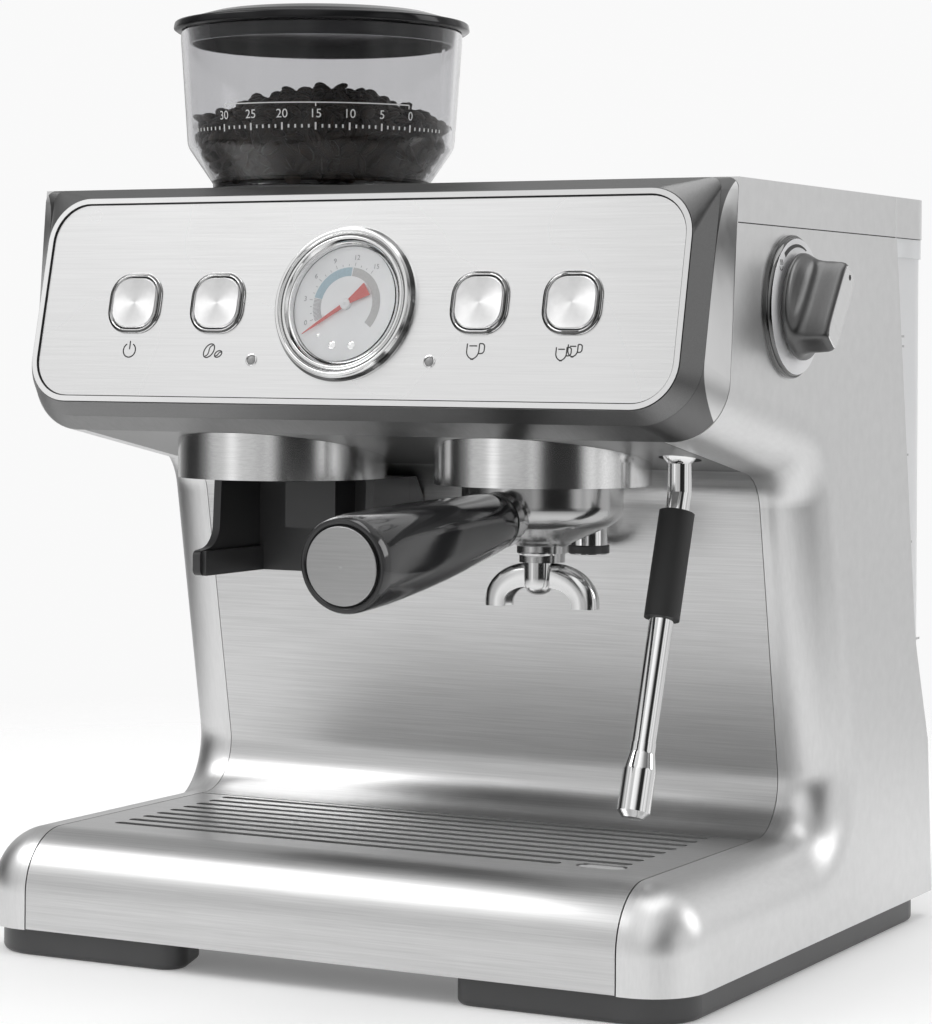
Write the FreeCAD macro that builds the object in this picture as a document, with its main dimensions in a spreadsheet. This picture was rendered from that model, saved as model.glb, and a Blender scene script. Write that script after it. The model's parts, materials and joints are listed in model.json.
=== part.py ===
import FreeCAD, Part
import math
import os
import Sketcher

# Espresso machine with a built-in grinder.
# Origin: middle of the resting face. +X is the machine's right as its user sees it,
# -Y is the front, +Z is up. Millimetres and degrees.

SIZES = [
    ("shell_half_width", 167.7, "centre plane to the outer face of a side shell"),
    ("bay_half_width", 140.0, "centre plane to the inner face of a side shell"),
    ("front_y", -145.0, "front face of the base"),
    ("rear_y", 143.0, "rear face of the base"),
    ("plinth_top", 11.4, "height of the black plinth"),
    ("deck_z", 53.0, "top of the drip grid"),
    ("front_round", 26.0, "rounding of the base's top front edge"),
    ("throat_low_y", 25.8, "back of the cup space at the deck"),
    ("throat_low_round", 22.5, "cove between deck and backsplash"),
    ("throat_high_y", -3.8, "back of the cup space at the head"),
    ("throat_high_z", 207.5, "height of that corner"),
    ("throat_high_round", 19.0, "rounding of that corner"),
    ("chin_y", -103.0, "front edge of the head's underside"),
    ("chin_z", 225.5, "height of that edge"),
    ("seam_top_y", -93.0, "front edge of the top cover"),
    ("cover_seam_z", 313.4, "seam between side shells and top cover"),
    ("top_z", 331.7, "top of the top cover"),
    ("rear_high_y", 91.0, "rear edge of a side shell at the top"),
    ("rear_low_y", 119.0, "rear edge of a side shell above the heel"),
    ("rear_low_z", 130.0, "height of that point"),
    ("heel_y", 137.0, "rear edge of a side shell at the heel"),
    ("heel_z", 82.0, "height of the heel"),
    ("pillow_round", 24.0, "rounding of a side shell's outer edge"),
    ("shell_wall", 2.0, "wall of a side shell"),
    ("seam_gap", 0.3, "gap between neighbouring covers"),
    ("sheet", 1.5, "stainless sheet"),
    ("panel_y", -114.3, "centre of the control panel"),
    ("panel_z", 282.7, "height of that centre"),
    ("panel_lean", 13.0, "lean of the control panel"),
    ("panel_half_width", 152.0, "centre to the side of the panel"),
    ("panel_half_height", 42.8, "centre to the top of the panel"),
    ("panel_corner", 17.0, "corner of the panel"),
    ("trim_width", 3.0, "bright ring around the panel"),
    ("bezel_depth", 8.0, "how far the dark bezel slopes back"),
    ("bezel_spread", 6.3, "how far it spreads at the sides"),
    ("button_pitch", 42.0, "between two buttons of a pair"),
    ("button_inner_x", 63.0, "centre plane to the inner buttons"),
    ("button_v", -1.7, "buttons above the panel's centre"),
    ("button_width", 22.0, "button cap"),
    ("button_corner", 8.0, "corner of a button cap"),
    ("button_travel", 1.6, "travel of a button"),
    ("gauge_radius", 33.5, "outside of the gauge's ring"),
    ("dial_radius", 25.2, "gauge dial"),
    ("gauge_v", -2.2, "gauge below the panel's centre"),
    ("lamp_x", 42.7, "centre plane to an indicator lamp"),
    ("lamp_v", -26.4, "lamps below the panel's centre"),
    ("lamp_radius", 2.5, "indicator lamp"),
    ("brew_x", 63.5, "axis of the brew group"),
    ("grind_x", -65.0, "axis of the grinder outlet"),
    ("outlet_y", -57.0, "both axes, front to rear"),
    ("ring_radius", 46.3, "outside of both steel rings"),
    ("ring_bottom_z", 205.0, "bottom edge of both rings"),
    ("hopper_y", -25.0, "axis of hopper and burrs"),
    ("hopper_radius", 63.5, "hopper at its rim"),
    ("hopper_rim_z", 404.0, "rim of the hopper"),
    ("hopper_lid_z", 413.0, "top of the hopper lid"),
    ("filter_body_radius", 34.4, "outside of the portafilter"),
    ("lug_radius", 38.1, "outside of the portafilter's lugs"),
    ("handle_droop", 5.0, "droop of the handle"),
    ("handle_reach", 171.5, "group axis to the end of the handle"),
    ("handle_radius", 18.8, "handle at its end"),
    ("spout_pitch", 41.0, "between the two spout outlets"),
    ("spout_z", 152.8, "lowest point of the spout"),
    ("wand_x", 127.0, "pivot of the steam wand"),
    ("wand_tube_radius", 5.1, "steam wand tube"),
    ("wand_bend_z", 203.0, "where the wand leans forward"),
    ("wand_lean", 19.2, "lean of the lower wand"),
    ("wand_length", 136.7, "bend to the end of the tip"),
    ("knob_y", -38.0, "axis of the steam knob"),
    ("knob_z", 280.5, "height of that axis"),
    ("knob_plate_radius", 29.8, "bright plate behind the knob"),
    ("knob_tilt", 37.0, "turn of the knob's wing from upright"),
    ("water_x", 64.3, "axis of the hot water spout"),
    ("water_y", -12.8, "the same, front to rear"),
    ("tank_rear_y", 145.0, "rear face of the water tank"),
    ("tank_bottom_z", 87.5, "bottom of the water tank"),
    ("tank_wall", 2.5, "wall of the water tank"),
    ("tooth_module", 1.0, "module of the grinder's gears"),
    ("gear_teeth", 36.0, "teeth of the burr gear"),
    ("pinion_teeth", 16.0, "teeth of the motor pinion"),
]

X_AXIS = FreeCAD.Vector(1, 0, 0)
Y_AXIS = FreeCAD.Vector(0, 1, 0)
Z_AXIS = FreeCAD.Vector(0, 0, 1)
ORIGIN = FreeCAD.Vector(0, 0, 0)

doc = FreeCAD.newDocument("EspressoMachine")
sheet = doc.addObject("Spreadsheet::Sheet", "Sizes")
nodes = []


class Dim:
    """A size: its number, and the sheet formula that gives it."""

    def __init__(self, number, formula):
        self.number = float(number)
        self.formula = formula

    def join(self, other, sign, number):
        return Dim(number, "(" + self.formula + sign + other.formula + ")")

    def __add__(self, other):
        other = dim(other)
        return self.join(other, " + ", self.number + other.number)

    def __sub__(self, other):
        other = dim(other)
        return self.join(other, " - ", self.number - other.number)

    def __mul__(self, other):
        other = dim(other)
        return self.join(other, " * ", self.number * other.number)

    def __truediv__(self, other):
        other = dim(other)
        return self.join(other, " / ", self.number / other.number)

    def __radd__(self, other):
        return dim(other) + self

    def __rsub__(self, other):
        return dim(other) - self

    def __rmul__(self, other):
        return dim(other) * self

    def __neg__(self):
        return Dim(-self.number, "(0 - " + self.formula + ")")


def dim(value):
    if isinstance(value, Dim):
        return value
    return Dim(value, "(" + format(float(value), ".6f") + ")")


def sine(angle):
    return Dim(math.sin(math.radians(angle.number)), "sin(" + angle.formula + ")")


def cosine(angle):
    return Dim(math.cos(math.radians(angle.number)), "cos(" + angle.formula + ")")


class Book:
    """Reads the driving dimensions by name."""


def fill_sheet():
    book = Book()
    for row, (name, number, meaning) in enumerate(SIZES, start=1):
        cell = "B" + str(row)
        sheet.set("A" + str(row), name)
        sheet.set(cell, str(number))
        sheet.set("C" + str(row), meaning)
        sheet.setAlias(cell, name)
        setattr(book, name, Dim(number, "Sizes." + name))
    doc.recompute()
    return book


S = fill_sheet()


# ---------------------------------------------------------------- building blocks

def bind(item, prop, size):
    item.setExpression(prop, dim(size).formula)


def rotation(direction):
    """Turns +Z to the named direction."""
    if direction == "x":
        return FreeCAD.Rotation(Y_AXIS, 90)
    if direction == "front":
        return FreeCAD.Rotation(X_AXIS, 90)
    if direction == "panel":
        return FreeCAD.Rotation(X_AXIS, 90 - S.panel_lean.number)
    if direction == "handle":
        return FreeCAD.Rotation(X_AXIS, 90 + S.handle_droop.number)
    if direction == "wand":
        return FreeCAD.Rotation(X_AXIS, 180 - S.wand_lean.number)
    return FreeCAD.Rotation()


def place(item, base, turn=None):
    item.Placement = FreeCAD.Placement(ORIGIN, turn or FreeCAD.Rotation())
    for letter, size in zip("xyz", base):
        bind(item, "Placement.Base." + letter, size)
    return item


def on_panel(u, v, n=0):
    """A point given along the panel, up the panel and out of it."""
    y = S.panel_y + dim(v) * sine(S.panel_lean) - dim(n) * cosine(S.panel_lean)
    z = S.panel_z + dim(v) * cosine(S.panel_lean) + dim(n) * sine(S.panel_lean)
    return (dim(u), y, z)


def box(name, low, high):
    item = doc.addObject("Part::Box", name)
    for prop, start, end in zip(("Length", "Width", "Height"), low, high):
        bind(item, prop, dim(end) - start)
    return place(item, low)


def cylinder(name, base, radius, length, direction="z"):
    item = doc.addObject("Part::Cylinder", name)
    bind(item, "Radius", radius)
    bind(item, "Height", length)
    return place(item, base, rotation(direction))


def sector(name, base, radius, length, middle, spread):
    """A slice of a cylinder around its middle direction."""
    item = doc.addObject("Part::Cylinder", name)
    bind(item, "Radius", radius)
    bind(item, "Height", length)
    bind(item, "Angle", spread)
    return place(item, base, FreeCAD.Rotation(Z_AXIS, middle - spread / 2))


def ball(name, centre, radius):
    item = doc.addObject("Part::Sphere", name)
    bind(item, "Radius", radius)
    return place(item, centre)


def fuse(name, parts):
    item = doc.addObject("Part::MultiFuse", name)
    item.Shapes = parts
    return item


def cut(name, base, tools):
    tool = tools[0] if len(tools) == 1 else fuse(name + "Tools", tools)
    item = doc.addObject("Part::Cut", name)
    item.Base = base
    item.Tool = tool
    return item


def common(name, base, tool):
    item = doc.addObject("Part::Common", name)
    item.Base = base
    item.Tool = tool
    return item


def mirror(name, source):
    item = doc.addObject("Part::Mirroring", name)
    item.Source = source
    item.Normal = X_AXIS
    item.Base = ORIGIN
    return item


def new_body(name):
    return doc.addObject("PartDesign::Body", name)


def new_sketch(body, plane, shift=None):
    sketch = body.newObject("Sketcher::SketchObject", body.Name + "Sketch")
    origin_planes = [item for item in body.Origin.OriginFeatures if item.Role == plane]
    sketch.AttachmentSupport = [(origin_planes[0], "")]
    sketch.MapMode = "FlatFace"
    if shift:
        sketch.AttachmentOffset = shift
    return sketch


def pin_point(sketch, geometry, end, x, y):
    for kind, size in (("DistanceX", x), ("DistanceY", y)):
        rule = Sketcher.Constraint(kind, -1, 1, geometry, end, size.number)
        bind(sketch, "Constraints[" + str(sketch.addConstraint(rule)) + "]", size)


def tangent_points(before, corner, after, radius):
    """Where an arc of this radius leaves the two sides of a corner, and its middle."""
    back = (before - corner).normalize()
    ahead = (after - corner).normalize()
    half_angle = back.getAngle(ahead) / 2
    reach = radius / math.tan(half_angle)
    bisector = (back + ahead).normalize()
    middle = corner + bisector * (radius / math.sin(half_angle) - radius)
    return corner + back * reach, middle, corner + ahead * reach


def pin_rounding(sketch, before, after, arc, corner, point):
    """Joins two sides with a tangent arc whose sharp corner stays pinned."""
    x, y, radius = corner
    curve = sketch.addGeometry(Part.Arc(*arc), False)
    start = sketch.getPoint(curve, 1)
    first = 1 if (start - arc[0]).Length < (start - arc[2]).Length else 2
    sketch.addConstraint(Sketcher.Constraint("Tangent", before, 2, curve, first))
    sketch.addConstraint(Sketcher.Constraint("Tangent", after, 1, curve, 3 - first))
    mark = sketch.addGeometry(Part.Point(point), True)
    sketch.addConstraint(Sketcher.Constraint("PointOnObject", mark, 1, before))
    sketch.addConstraint(Sketcher.Constraint("PointOnObject", mark, 1, after))
    pin_point(sketch, mark, 1, x, y)
    rule = Sketcher.Constraint("Radius", curve, radius.number)
    bind(sketch, "Constraints[" + str(sketch.addConstraint(rule)) + "]", radius)


def outline(sketch, corners, closed=True):
    """Straight sides through (x, y, rounding) corners, closed or open."""
    corners = [(dim(x), dim(y), dim(r)) for x, y, r in corners]
    points = [FreeCAD.Vector(x.number, y.number, 0) for x, y, r in corners]
    count = len(corners)
    arcs = []
    for i in range(count):
        radius = corners[i][2].number
        if radius > 0:
            arcs.append(tangent_points(points[i - 1], points[i], points[(i + 1) % count], radius))
        else:
            arcs.append((points[i], None, points[i]))
    lines = []
    for i in range(count if closed else count - 1):
        side = Part.LineSegment(arcs[i][2], arcs[(i + 1) % count][0])
        lines.append(sketch.addGeometry(side, False))
    for i in range(0 if closed else 1, count if closed else count - 1):
        x, y, radius = corners[i]
        before, after = lines[i - 1], lines[i]
        if radius.number > 0:
            pin_rounding(sketch, before, after, arcs[i], corners[i], points[i])
        else:
            sketch.addConstraint(Sketcher.Constraint("Coincident", before, 2, after, 1))
            pin_point(sketch, after, 1, x, y)
    if not closed:
        pin_point(sketch, lines[0], 1, corners[0][0], corners[0][1])
        pin_point(sketch, lines[-1], 2, corners[-1][0], corners[-1][1])


def ring_outline(sketch, x, y, radius):
    x, y, radius = dim(x), dim(y), dim(radius)
    centre = FreeCAD.Vector(x.number, y.number, 0)
    curve = sketch.addGeometry(Part.Circle(centre, Z_AXIS, radius.number), False)
    pin_point(sketch, curve, 3, x, y)
    rule = Sketcher.Constraint("Radius", curve, radius.number)
    bind(sketch, "Constraints[" + str(sketch.addConstraint(rule)) + "]", radius)


def rectangle(half_width, low, high, radius_low, radius_high):
    """Corners of an upright rectangle, centred on x = 0."""
    return [
        (-half_width, low, radius_low),
        (half_width, low, radius_low),
        (half_width, high, radius_high),
        (-half_width, high, radius_high),
    ]


def square(x, y, half_width, half_height, corner):
    return [
        (x - half_width, y - half_height, corner),
        (x + half_width, y - half_height, corner),
        (x + half_width, y + half_height, corner),
        (x - half_width, y + half_height, corner),
    ]


def pad(body, sketch, length, name="Pad"):
    item = body.newObject("PartDesign::Pad", body.Name + name)
    item.Profile = sketch
    bind(item, "Length", length)
    return item


def prism(name, plane, outlines, base, length, circles=(), turn=None):
    """A body padded from outlines on one of its own planes."""
    body = new_body(name)
    sketch = new_sketch(body, plane)
    for corners in outlines:
        outline(sketch, corners)
    for x, y, radius in circles:
        ring_outline(sketch, x, y, radius)
    pad(body, sketch, length)
    place(body, base, turn)
    return body


def across(name, corners, half_width):
    """A body with a side profile of (y, z) corners, running across the machine."""
    return prism(name, "YZ_Plane", [corners], (-half_width, 0, 0), 2 * half_width)


def turned(name, profile, base, direction="z"):
    """A body of revolution; the profile is (radius, height, rounding) corners."""
    body = new_body(name)
    sketch = new_sketch(body, "XZ_Plane")
    outline(sketch, profile)
    item = body.newObject("PartDesign::Revolution", name + "Revolution")
    item.Profile = sketch
    item.ReferenceAxis = (sketch, ["V_Axis"])
    item.Angle = 360
    place(body, base, rotation(direction))
    return body


def tube(name, inner, outer, low, high, base, direction="z"):
    return turned(name, [(inner, low, 0), (outer, low, 0), (outer, high, 0), (inner, high, 0)],
                  base, direction)


def round_edges(body, radius, wanted, name="Fillet"):
    """Rounds the edges of a body that the test accepts."""
    doc.recompute()
    tip = body.Tip
    names = ["Edge" + str(i) for i, edge in enumerate(tip.Shape.Edges, start=1) if wanted(edge)]
    item = body.newObject("PartDesign::Fillet", body.Name + name)
    item.Base = (tip, names)
    bind(item, "Radius", radius)
    return body


def node(name, item):
    item.Label = name
    nodes.append(item)
    return item


def near(value, size):
    return abs(value - dim(size).number) < 0.01


def strip(path, thickness):
    """Closed outline of a sheet bent along a path, thickened to the path's right."""
    points = [FreeCAD.Vector(dim(x).number, dim(y).number, 0) for x, y, r in path]
    back = []
    for i, (x, y, radius) in enumerate(path):
        ahead = (points[min(i + 1, len(points) - 1)] - points[min(i, len(points) - 2)]).normalize()
        behind = (points[max(i, 1)] - points[max(i - 1, 0)]).normalize()
        normal_ahead = FreeCAD.Vector(ahead.y, -ahead.x, 0)
        normal_behind = FreeCAD.Vector(behind.y, -behind.x, 0)
        mitre = (normal_ahead + normal_behind).normalize()
        step = mitre / mitre.dot(normal_ahead)
        new_radius = 0
        if dim(radius).number > 0:
            turns_right = behind.cross(ahead).z < 0
            new_radius = dim(radius) - thickness if turns_right else dim(radius) + thickness
        back.append((dim(x) + step.x * dim(thickness), dim(y) + step.y * dim(thickness),
                     new_radius))
    return list(path) + back[::-1]


# ---------------------------------------------------------------- base and covers

INNER = S.bay_half_width - S.seam_gap


def throat_y(z):
    """Front of the backsplash at a height."""
    slope = (S.throat_high_y - S.throat_low_y) / (S.throat_high_z - S.deck_z)
    return S.throat_low_y + slope * (dim(z) - S.deck_z)


def underside_z(y):
    """Height of the head's underside at a depth."""
    slope = (S.chin_z - S.throat_high_z) / (S.chin_y - S.throat_high_y)
    return S.throat_high_z + slope * (dim(y) - S.throat_high_y)


def seam_y(z):
    """Depth of the seam between the head's front and the covers, at a height."""
    slope = (S.seam_top_y - S.chin_y) / (S.top_z - S.chin_z)
    return S.chin_y + slope * (dim(z) - S.chin_z)


FOOT_X = 142
FOOT_YS = (-118, 116)
FOOT_RADIUS = 12
FOOT_DEPTH = 3


def foot_pads(name, radius, depth):
    return [cylinder(name + str(i) + side, (sign * FOOT_X, y, 0), radius, depth)
            for i, y in enumerate(FOOT_YS) for side, sign in (("L", -1), ("R", 1))]


def make_plinth():
    """Black base ring, open under the drip tray, with pads let into its underside."""
    wide = S.shell_half_width - 3
    front = S.front_y + 3
    rear = S.rear_y - 3
    bar = 120
    corners = [
        (-wide, front, 24), (-62, front, 9), (-74, front + 36, 12), (-bar, front + 36, 8),
        (-bar, rear - 35, 8), (bar, rear - 35, 8), (bar, front + 36, 8), (74, front + 36, 12),
        (62, front, 9), (wide, front, 24), (wide, rear, 20), (-wide, rear, 20),
    ]
    ring = prism("PlinthRing", "XY_Plane", [corners], (0, 0, 0), S.plinth_top)
    round_edges(ring, 2.5, lambda edge: edge.BoundBox.ZMax < 0.01)
    node("plinth", cut("Plinth", ring, foot_pads("PadPocket", FOOT_RADIUS + 0.2, FOOT_DEPTH)))
    node("rubber_feet", fuse("RubberFeet", foot_pads("Pad", FOOT_RADIUS, FOOT_DEPTH)))


def make_base_plate():
    floor = prism("BasePlate", "XY_Plane", [square(0, 20, INNER, 119.5, 4)],
                  (0, 0, S.plinth_top), 2.4)
    node("base_plate", floor)


def shell_corners():
    """Side view of a side shell, (y, z), from the front of the base upwards."""
    gap = S.seam_gap
    return [
        (S.front_y, S.plinth_top, 0),
        (S.front_y, S.deck_z, S.front_round),
        (S.throat_low_y, S.deck_z, S.throat_low_round),
        (S.throat_high_y, S.throat_high_z, S.throat_high_round),
        (S.chin_y + gap, S.chin_z, 0),
        (seam_y(S.cover_seam_z) + gap, S.cover_seam_z, 0),
        (S.rear_high_y, S.cover_seam_z, 0),
        (S.rear_low_y, S.rear_low_z, 60),
        (S.heel_y, S.heel_z, 8),
        (S.rear_y, S.plinth_top, 0),
    ]


def inset(corners, distance):
    """The same outline moved inwards; it runs clockwise as drawn."""
    points = [FreeCAD.Vector(dim(x).number, dim(y).number, 0) for x, y, r in corners]
    moved = []
    for i, (x, y, radius) in enumerate(corners):
        ahead = (points[(i + 1) % len(points)] - points[i]).normalize()
        behind = (points[i] - points[i - 1]).normalize()
        normal_ahead = FreeCAD.Vector(ahead.y, -ahead.x, 0)
        normal_behind = FreeCAD.Vector(behind.y, -behind.x, 0)
        mitre = (normal_ahead + normal_behind).normalize()
        step = mitre * (distance / mitre.dot(normal_ahead))
        convex = behind.cross(ahead).z < 0
        new_radius = 0
        if dim(radius).number > 0:
            new_radius = dim(radius) + (-distance if convex else distance)
        moved.append((dim(x) + step.x, dim(y) + step.y, new_radius))
    return moved


def soft_slab(name, corners, base_x, thick, radius, rear_limit):
    """A slab with its outer edge rounded along the throat and the front."""
    slab = prism(name, "YZ_Plane", [corners], (base_x, 0, 0), thick)
    outer = dim(thick).number

    def on_throat(edge):
        box = edge.BoundBox
        middle = edge.valueAt((edge.FirstParameter + edge.LastParameter) / 2)
        on_face = near(box.XMin, outer) and near(box.XMax, outer)
        upright = not near(middle.z, dim(corners[0][1]))
        return on_face and middle.y < rear_limit and middle.z < S.chin_z.number - 2 and upright

    return round_edges(slab, radius, on_throat)


def make_side_shells():
    """Hollow shells with a softly rounded front; the right one has the knob's hole."""
    thick = S.shell_half_width - S.bay_half_width
    rear_limit = S.throat_low_y.number + 1
    wall = S.shell_wall.number
    skin = soft_slab("ShellSkin", shell_corners(), S.bay_half_width, thick, S.pillow_round,
                     rear_limit)
    core = soft_slab("ShellCore", inset(shell_corners(), wall), S.bay_half_width - 1,
                     thick + 1 - wall, S.pillow_round - wall, rear_limit + wall)
    blank = cut("ShellBlank", skin, [core])
    node("left_side_shell", mirror("LeftShell", blank))
    hole = cylinder("KnobHole", (S.shell_half_width - 10, S.knob_y, S.knob_z), 9, 20, "x")
    node("right_side_shell", cut("RightShell", blank, [hole]))


GROUP_HOLE = 42.6


def make_backsplash():
    """Stainless sheet from the deck up to the head's underside."""
    top_y = S.throat_high_y - 18
    path = [
        (S.front_y + 140.5, S.deck_z, 0),
        (S.throat_low_y, S.deck_z, S.throat_low_round),
        (S.throat_high_y, S.throat_high_z, S.throat_high_round),
        (top_y, underside_z(top_y), 0),
    ]
    bent = across("BacksplashSheet", strip(path, S.sheet), INNER)
    hole = cylinder("BacksplashHole", (S.brew_x, S.outlet_y, 200), GROUP_HOLE, 20)
    node("backsplash", cut("Backsplash", bent, [hole]))


CHUTE_X = S.grind_x
CHUTE_Y = S.outlet_y + 1
CHUTE_RADIUS = 10.5
BALL_RADIUS = 8.0


def make_head_underside():
    """Dark plate between the chin and the backsplash, with the outlets' holes."""
    front = S.chin_y + S.seam_gap
    rear = S.throat_high_y - 18.5
    corners = [
        (front, underside_z(front), 0), (rear, underside_z(rear), 0),
        (rear, underside_z(rear) + 3, 0), (front, underside_z(front) + 3, 0),
    ]
    plate = across("UndersidePlate", corners, INNER)
    holes = [
        cylinder("GroupHole", (S.brew_x, S.outlet_y, 200), GROUP_HOLE, 40),
        cylinder("ChuteHole", (CHUTE_X, CHUTE_Y, 200), CHUTE_RADIUS + 0.5, 40),
        cylinder("WandHole", (S.wand_x, S.outlet_y, 200), BALL_RADIUS + 1, 40),
    ]
    node("head_underside", cut("HeadUnderside", plate, holes))


# ---------------------------------------------------------------- head front

SEAM_TILT = 7.65
SEAM_SHIFT = -16.75
BEZEL_LOW = -50.1
BEZEL_HIGH = 52
BEZEL_CORNER = 26
TOP_CORNER = 5
COLLAR_LOW = -53.7
COLLAR_HIGH = 52.9
COLLAR_WALL = 3


def loft(body, outlines, subtractive=False):
    """Joins outlines that lie out of the panel; each is (corners, height, tilt)."""
    sketches = []
    for corners, height, tilt in outlines:
        shift = FreeCAD.Placement(FreeCAD.Vector(0, 0, dim(height).number),
                                  FreeCAD.Rotation(X_AXIS, tilt))
        sketch = new_sketch(body, "XY_Plane", shift)
        outline(sketch, corners)
        sketches.append(sketch)
    kind = "PartDesign::SubtractiveLoft" if subtractive else "PartDesign::AdditiveLoft"
    item = body.newObject(kind, body.Name + ("Hollow" if subtractive else "Loft"))
    item.Profile = sketches[0]
    item.Sections = sketches[1:]
    item.Ruled = True
    return item


def make_head_collar():
    """Silver band between the bezel and the covers, following the head's outline."""
    front_half = S.panel_half_width + S.trim_width + S.bezel_spread
    rear_half = S.shell_half_width

    def bands(inset):
        front = rectangle(front_half - inset, BEZEL_LOW + inset, BEZEL_HIGH - inset,
                          BEZEL_CORNER - inset, TOP_CORNER)
        rear = rectangle(rear_half - inset, COLLAR_LOW + inset, COLLAR_HIGH - inset,
                         BEZEL_CORNER - 1 - inset, TOP_CORNER)
        return front, rear

    body = new_body("HeadCollar")
    front, rear = bands(0)
    loft(body, [(front, -8.2, 0), (rear, SEAM_SHIFT, SEAM_TILT)])
    doc.recompute()
    front, rear = bands(COLLAR_WALL)
    loft(body, [(front, -7.9, 0), (rear, SEAM_SHIFT - 0.4, SEAM_TILT)], True)
    place(body, on_panel(0, 0), rotation("panel"))
    node("head_collar", body)


def make_bezel():
    """Dark sloping frame around the panel."""
    front = rectangle(S.panel_half_width + S.trim_width, -S.panel_half_height - S.trim_width,
                      S.panel_half_height + S.trim_width, S.panel_corner + S.trim_width,
                      S.panel_corner + S.trim_width)
    rear = rectangle(S.panel_half_width + S.trim_width + S.bezel_spread, BEZEL_LOW, BEZEL_HIGH,
                     BEZEL_CORNER, TOP_CORNER)
    hole = square(0, 0, S.panel_half_width + S.trim_width - 0.2,
                  S.panel_half_height + S.trim_width - 0.2, S.panel_corner + S.trim_width - 0.2)
    body = new_body("Bezel")
    loft(body, [(rear, -S.bezel_depth, 0), (front, 0.4, 0)])
    doc.recompute()
    sketch = new_sketch(body, "XY_Plane", FreeCAD.Placement(FreeCAD.Vector(0, 0, 2),
                                                            FreeCAD.Rotation()))
    outline(sketch, hole)
    pocket = body.newObject("PartDesign::Pocket", "BezelOpening")
    pocket.Profile = sketch
    bind(pocket, "Length", 20)
    place(body, on_panel(0, 0), rotation("panel"))
    node("bezel", body)


def make_trim_ring():
    outer = square(0, 0, S.panel_half_width + S.trim_width - 0.4,
                   S.panel_half_height + S.trim_width - 0.4, S.panel_corner + S.trim_width - 0.4)
    inner = square(0, 0, S.panel_half_width + 0.3, S.panel_half_height + 0.3,
                   S.panel_corner + 0.3)
    ring = prism("TrimRing", "XY_Plane", [outer, inner], on_panel(0, 0, -6), 7,
                 turn=rotation("panel"))
    node("trim_ring", ring)


BUTTONS = [
    ("power_button", -1, 1), ("grind_button", -1, 0),
    ("one_cup_button", 1, 0), ("two_cup_button", 1, 1),
]
SURROUND_HALF = 13.4
SURROUND_CORNER = 10.5


def button_x(side, step):
    return side * (S.button_inner_x + step * S.button_pitch)


def make_front_panel():
    """Brushed plate with the openings for the buttons, the gauge and the lamps."""
    edge = square(0, 0, S.panel_half_width, S.panel_half_height, S.panel_corner)
    outlines = [edge]
    for _, side, step in BUTTONS:
        outlines.append(square(button_x(side, step), S.button_v, SURROUND_HALF - 1.4,
                               SURROUND_HALF - 1.4, SURROUND_CORNER - 1.4))
    circles = [(0, S.gauge_v, S.dial_radius + 3)]
    circles += [(side * S.lamp_x, S.lamp_v, S.lamp_radius + 0.1) for side in (-1, 1)]
    plate = prism("FrontPanel", "XY_Plane", outlines, on_panel(0, 0, -2), 2, circles,
                  rotation("panel"))
    node("front_panel", plate)


def make_button_surrounds():
    rings = []
    half_cap = S.button_width / 2 + 0.35
    for name, side, step in BUTTONS:
        x = button_x(side, step)
        sleeve = prism(name + "_sleeve", "XY_Plane",
                       [square(x, S.button_v, SURROUND_HALF - 1.5, SURROUND_HALF - 1.5,
                               SURROUND_CORNER - 1.5),
                        square(x, S.button_v, half_cap, half_cap, S.button_corner + 0.35)],
                       on_panel(0, 0, -8), 8.05, turn=rotation("panel"))
        lip = prism(name + "_lip", "XY_Plane",
                    [square(x, S.button_v, SURROUND_HALF, SURROUND_HALF, SURROUND_CORNER),
                     square(x, S.button_v, half_cap, half_cap, S.button_corner + 0.35)],
                    on_panel(0, 0, 0.05), 1.5, turn=rotation("panel"))
        rings.append(fuse(name + "_surround", [sleeve, lip]))
    node("button_surrounds", fuse("ButtonSurrounds", rings))


def make_buttons():
    """Metal caps on plastic stems."""
    half = S.button_width / 2
    for name, side, step in BUTTONS:
        x = button_x(side, step)
        cap = prism(name + "_cap", "XY_Plane", [square(x, S.button_v, half, half, S.button_corner)],
                    on_panel(0, 0, -5), 6.6, turn=rotation("panel"))
        stem = cylinder(name + "_stem", on_panel(x, S.button_v, -11), 3, 6.5, "panel")
        node(name, fuse(name + "_whole", [cap, stem]))


def make_indicator_lenses():
    lamps = [cylinder("Lamp" + str(i), on_panel(side * S.lamp_x, S.lamp_v, -7), S.lamp_radius,
                      7.8, "panel") for i, side in enumerate((-1, 1))]
    node("indicator_lenses", fuse("IndicatorLenses", lamps))


NEEDLE_REST = -52


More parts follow.
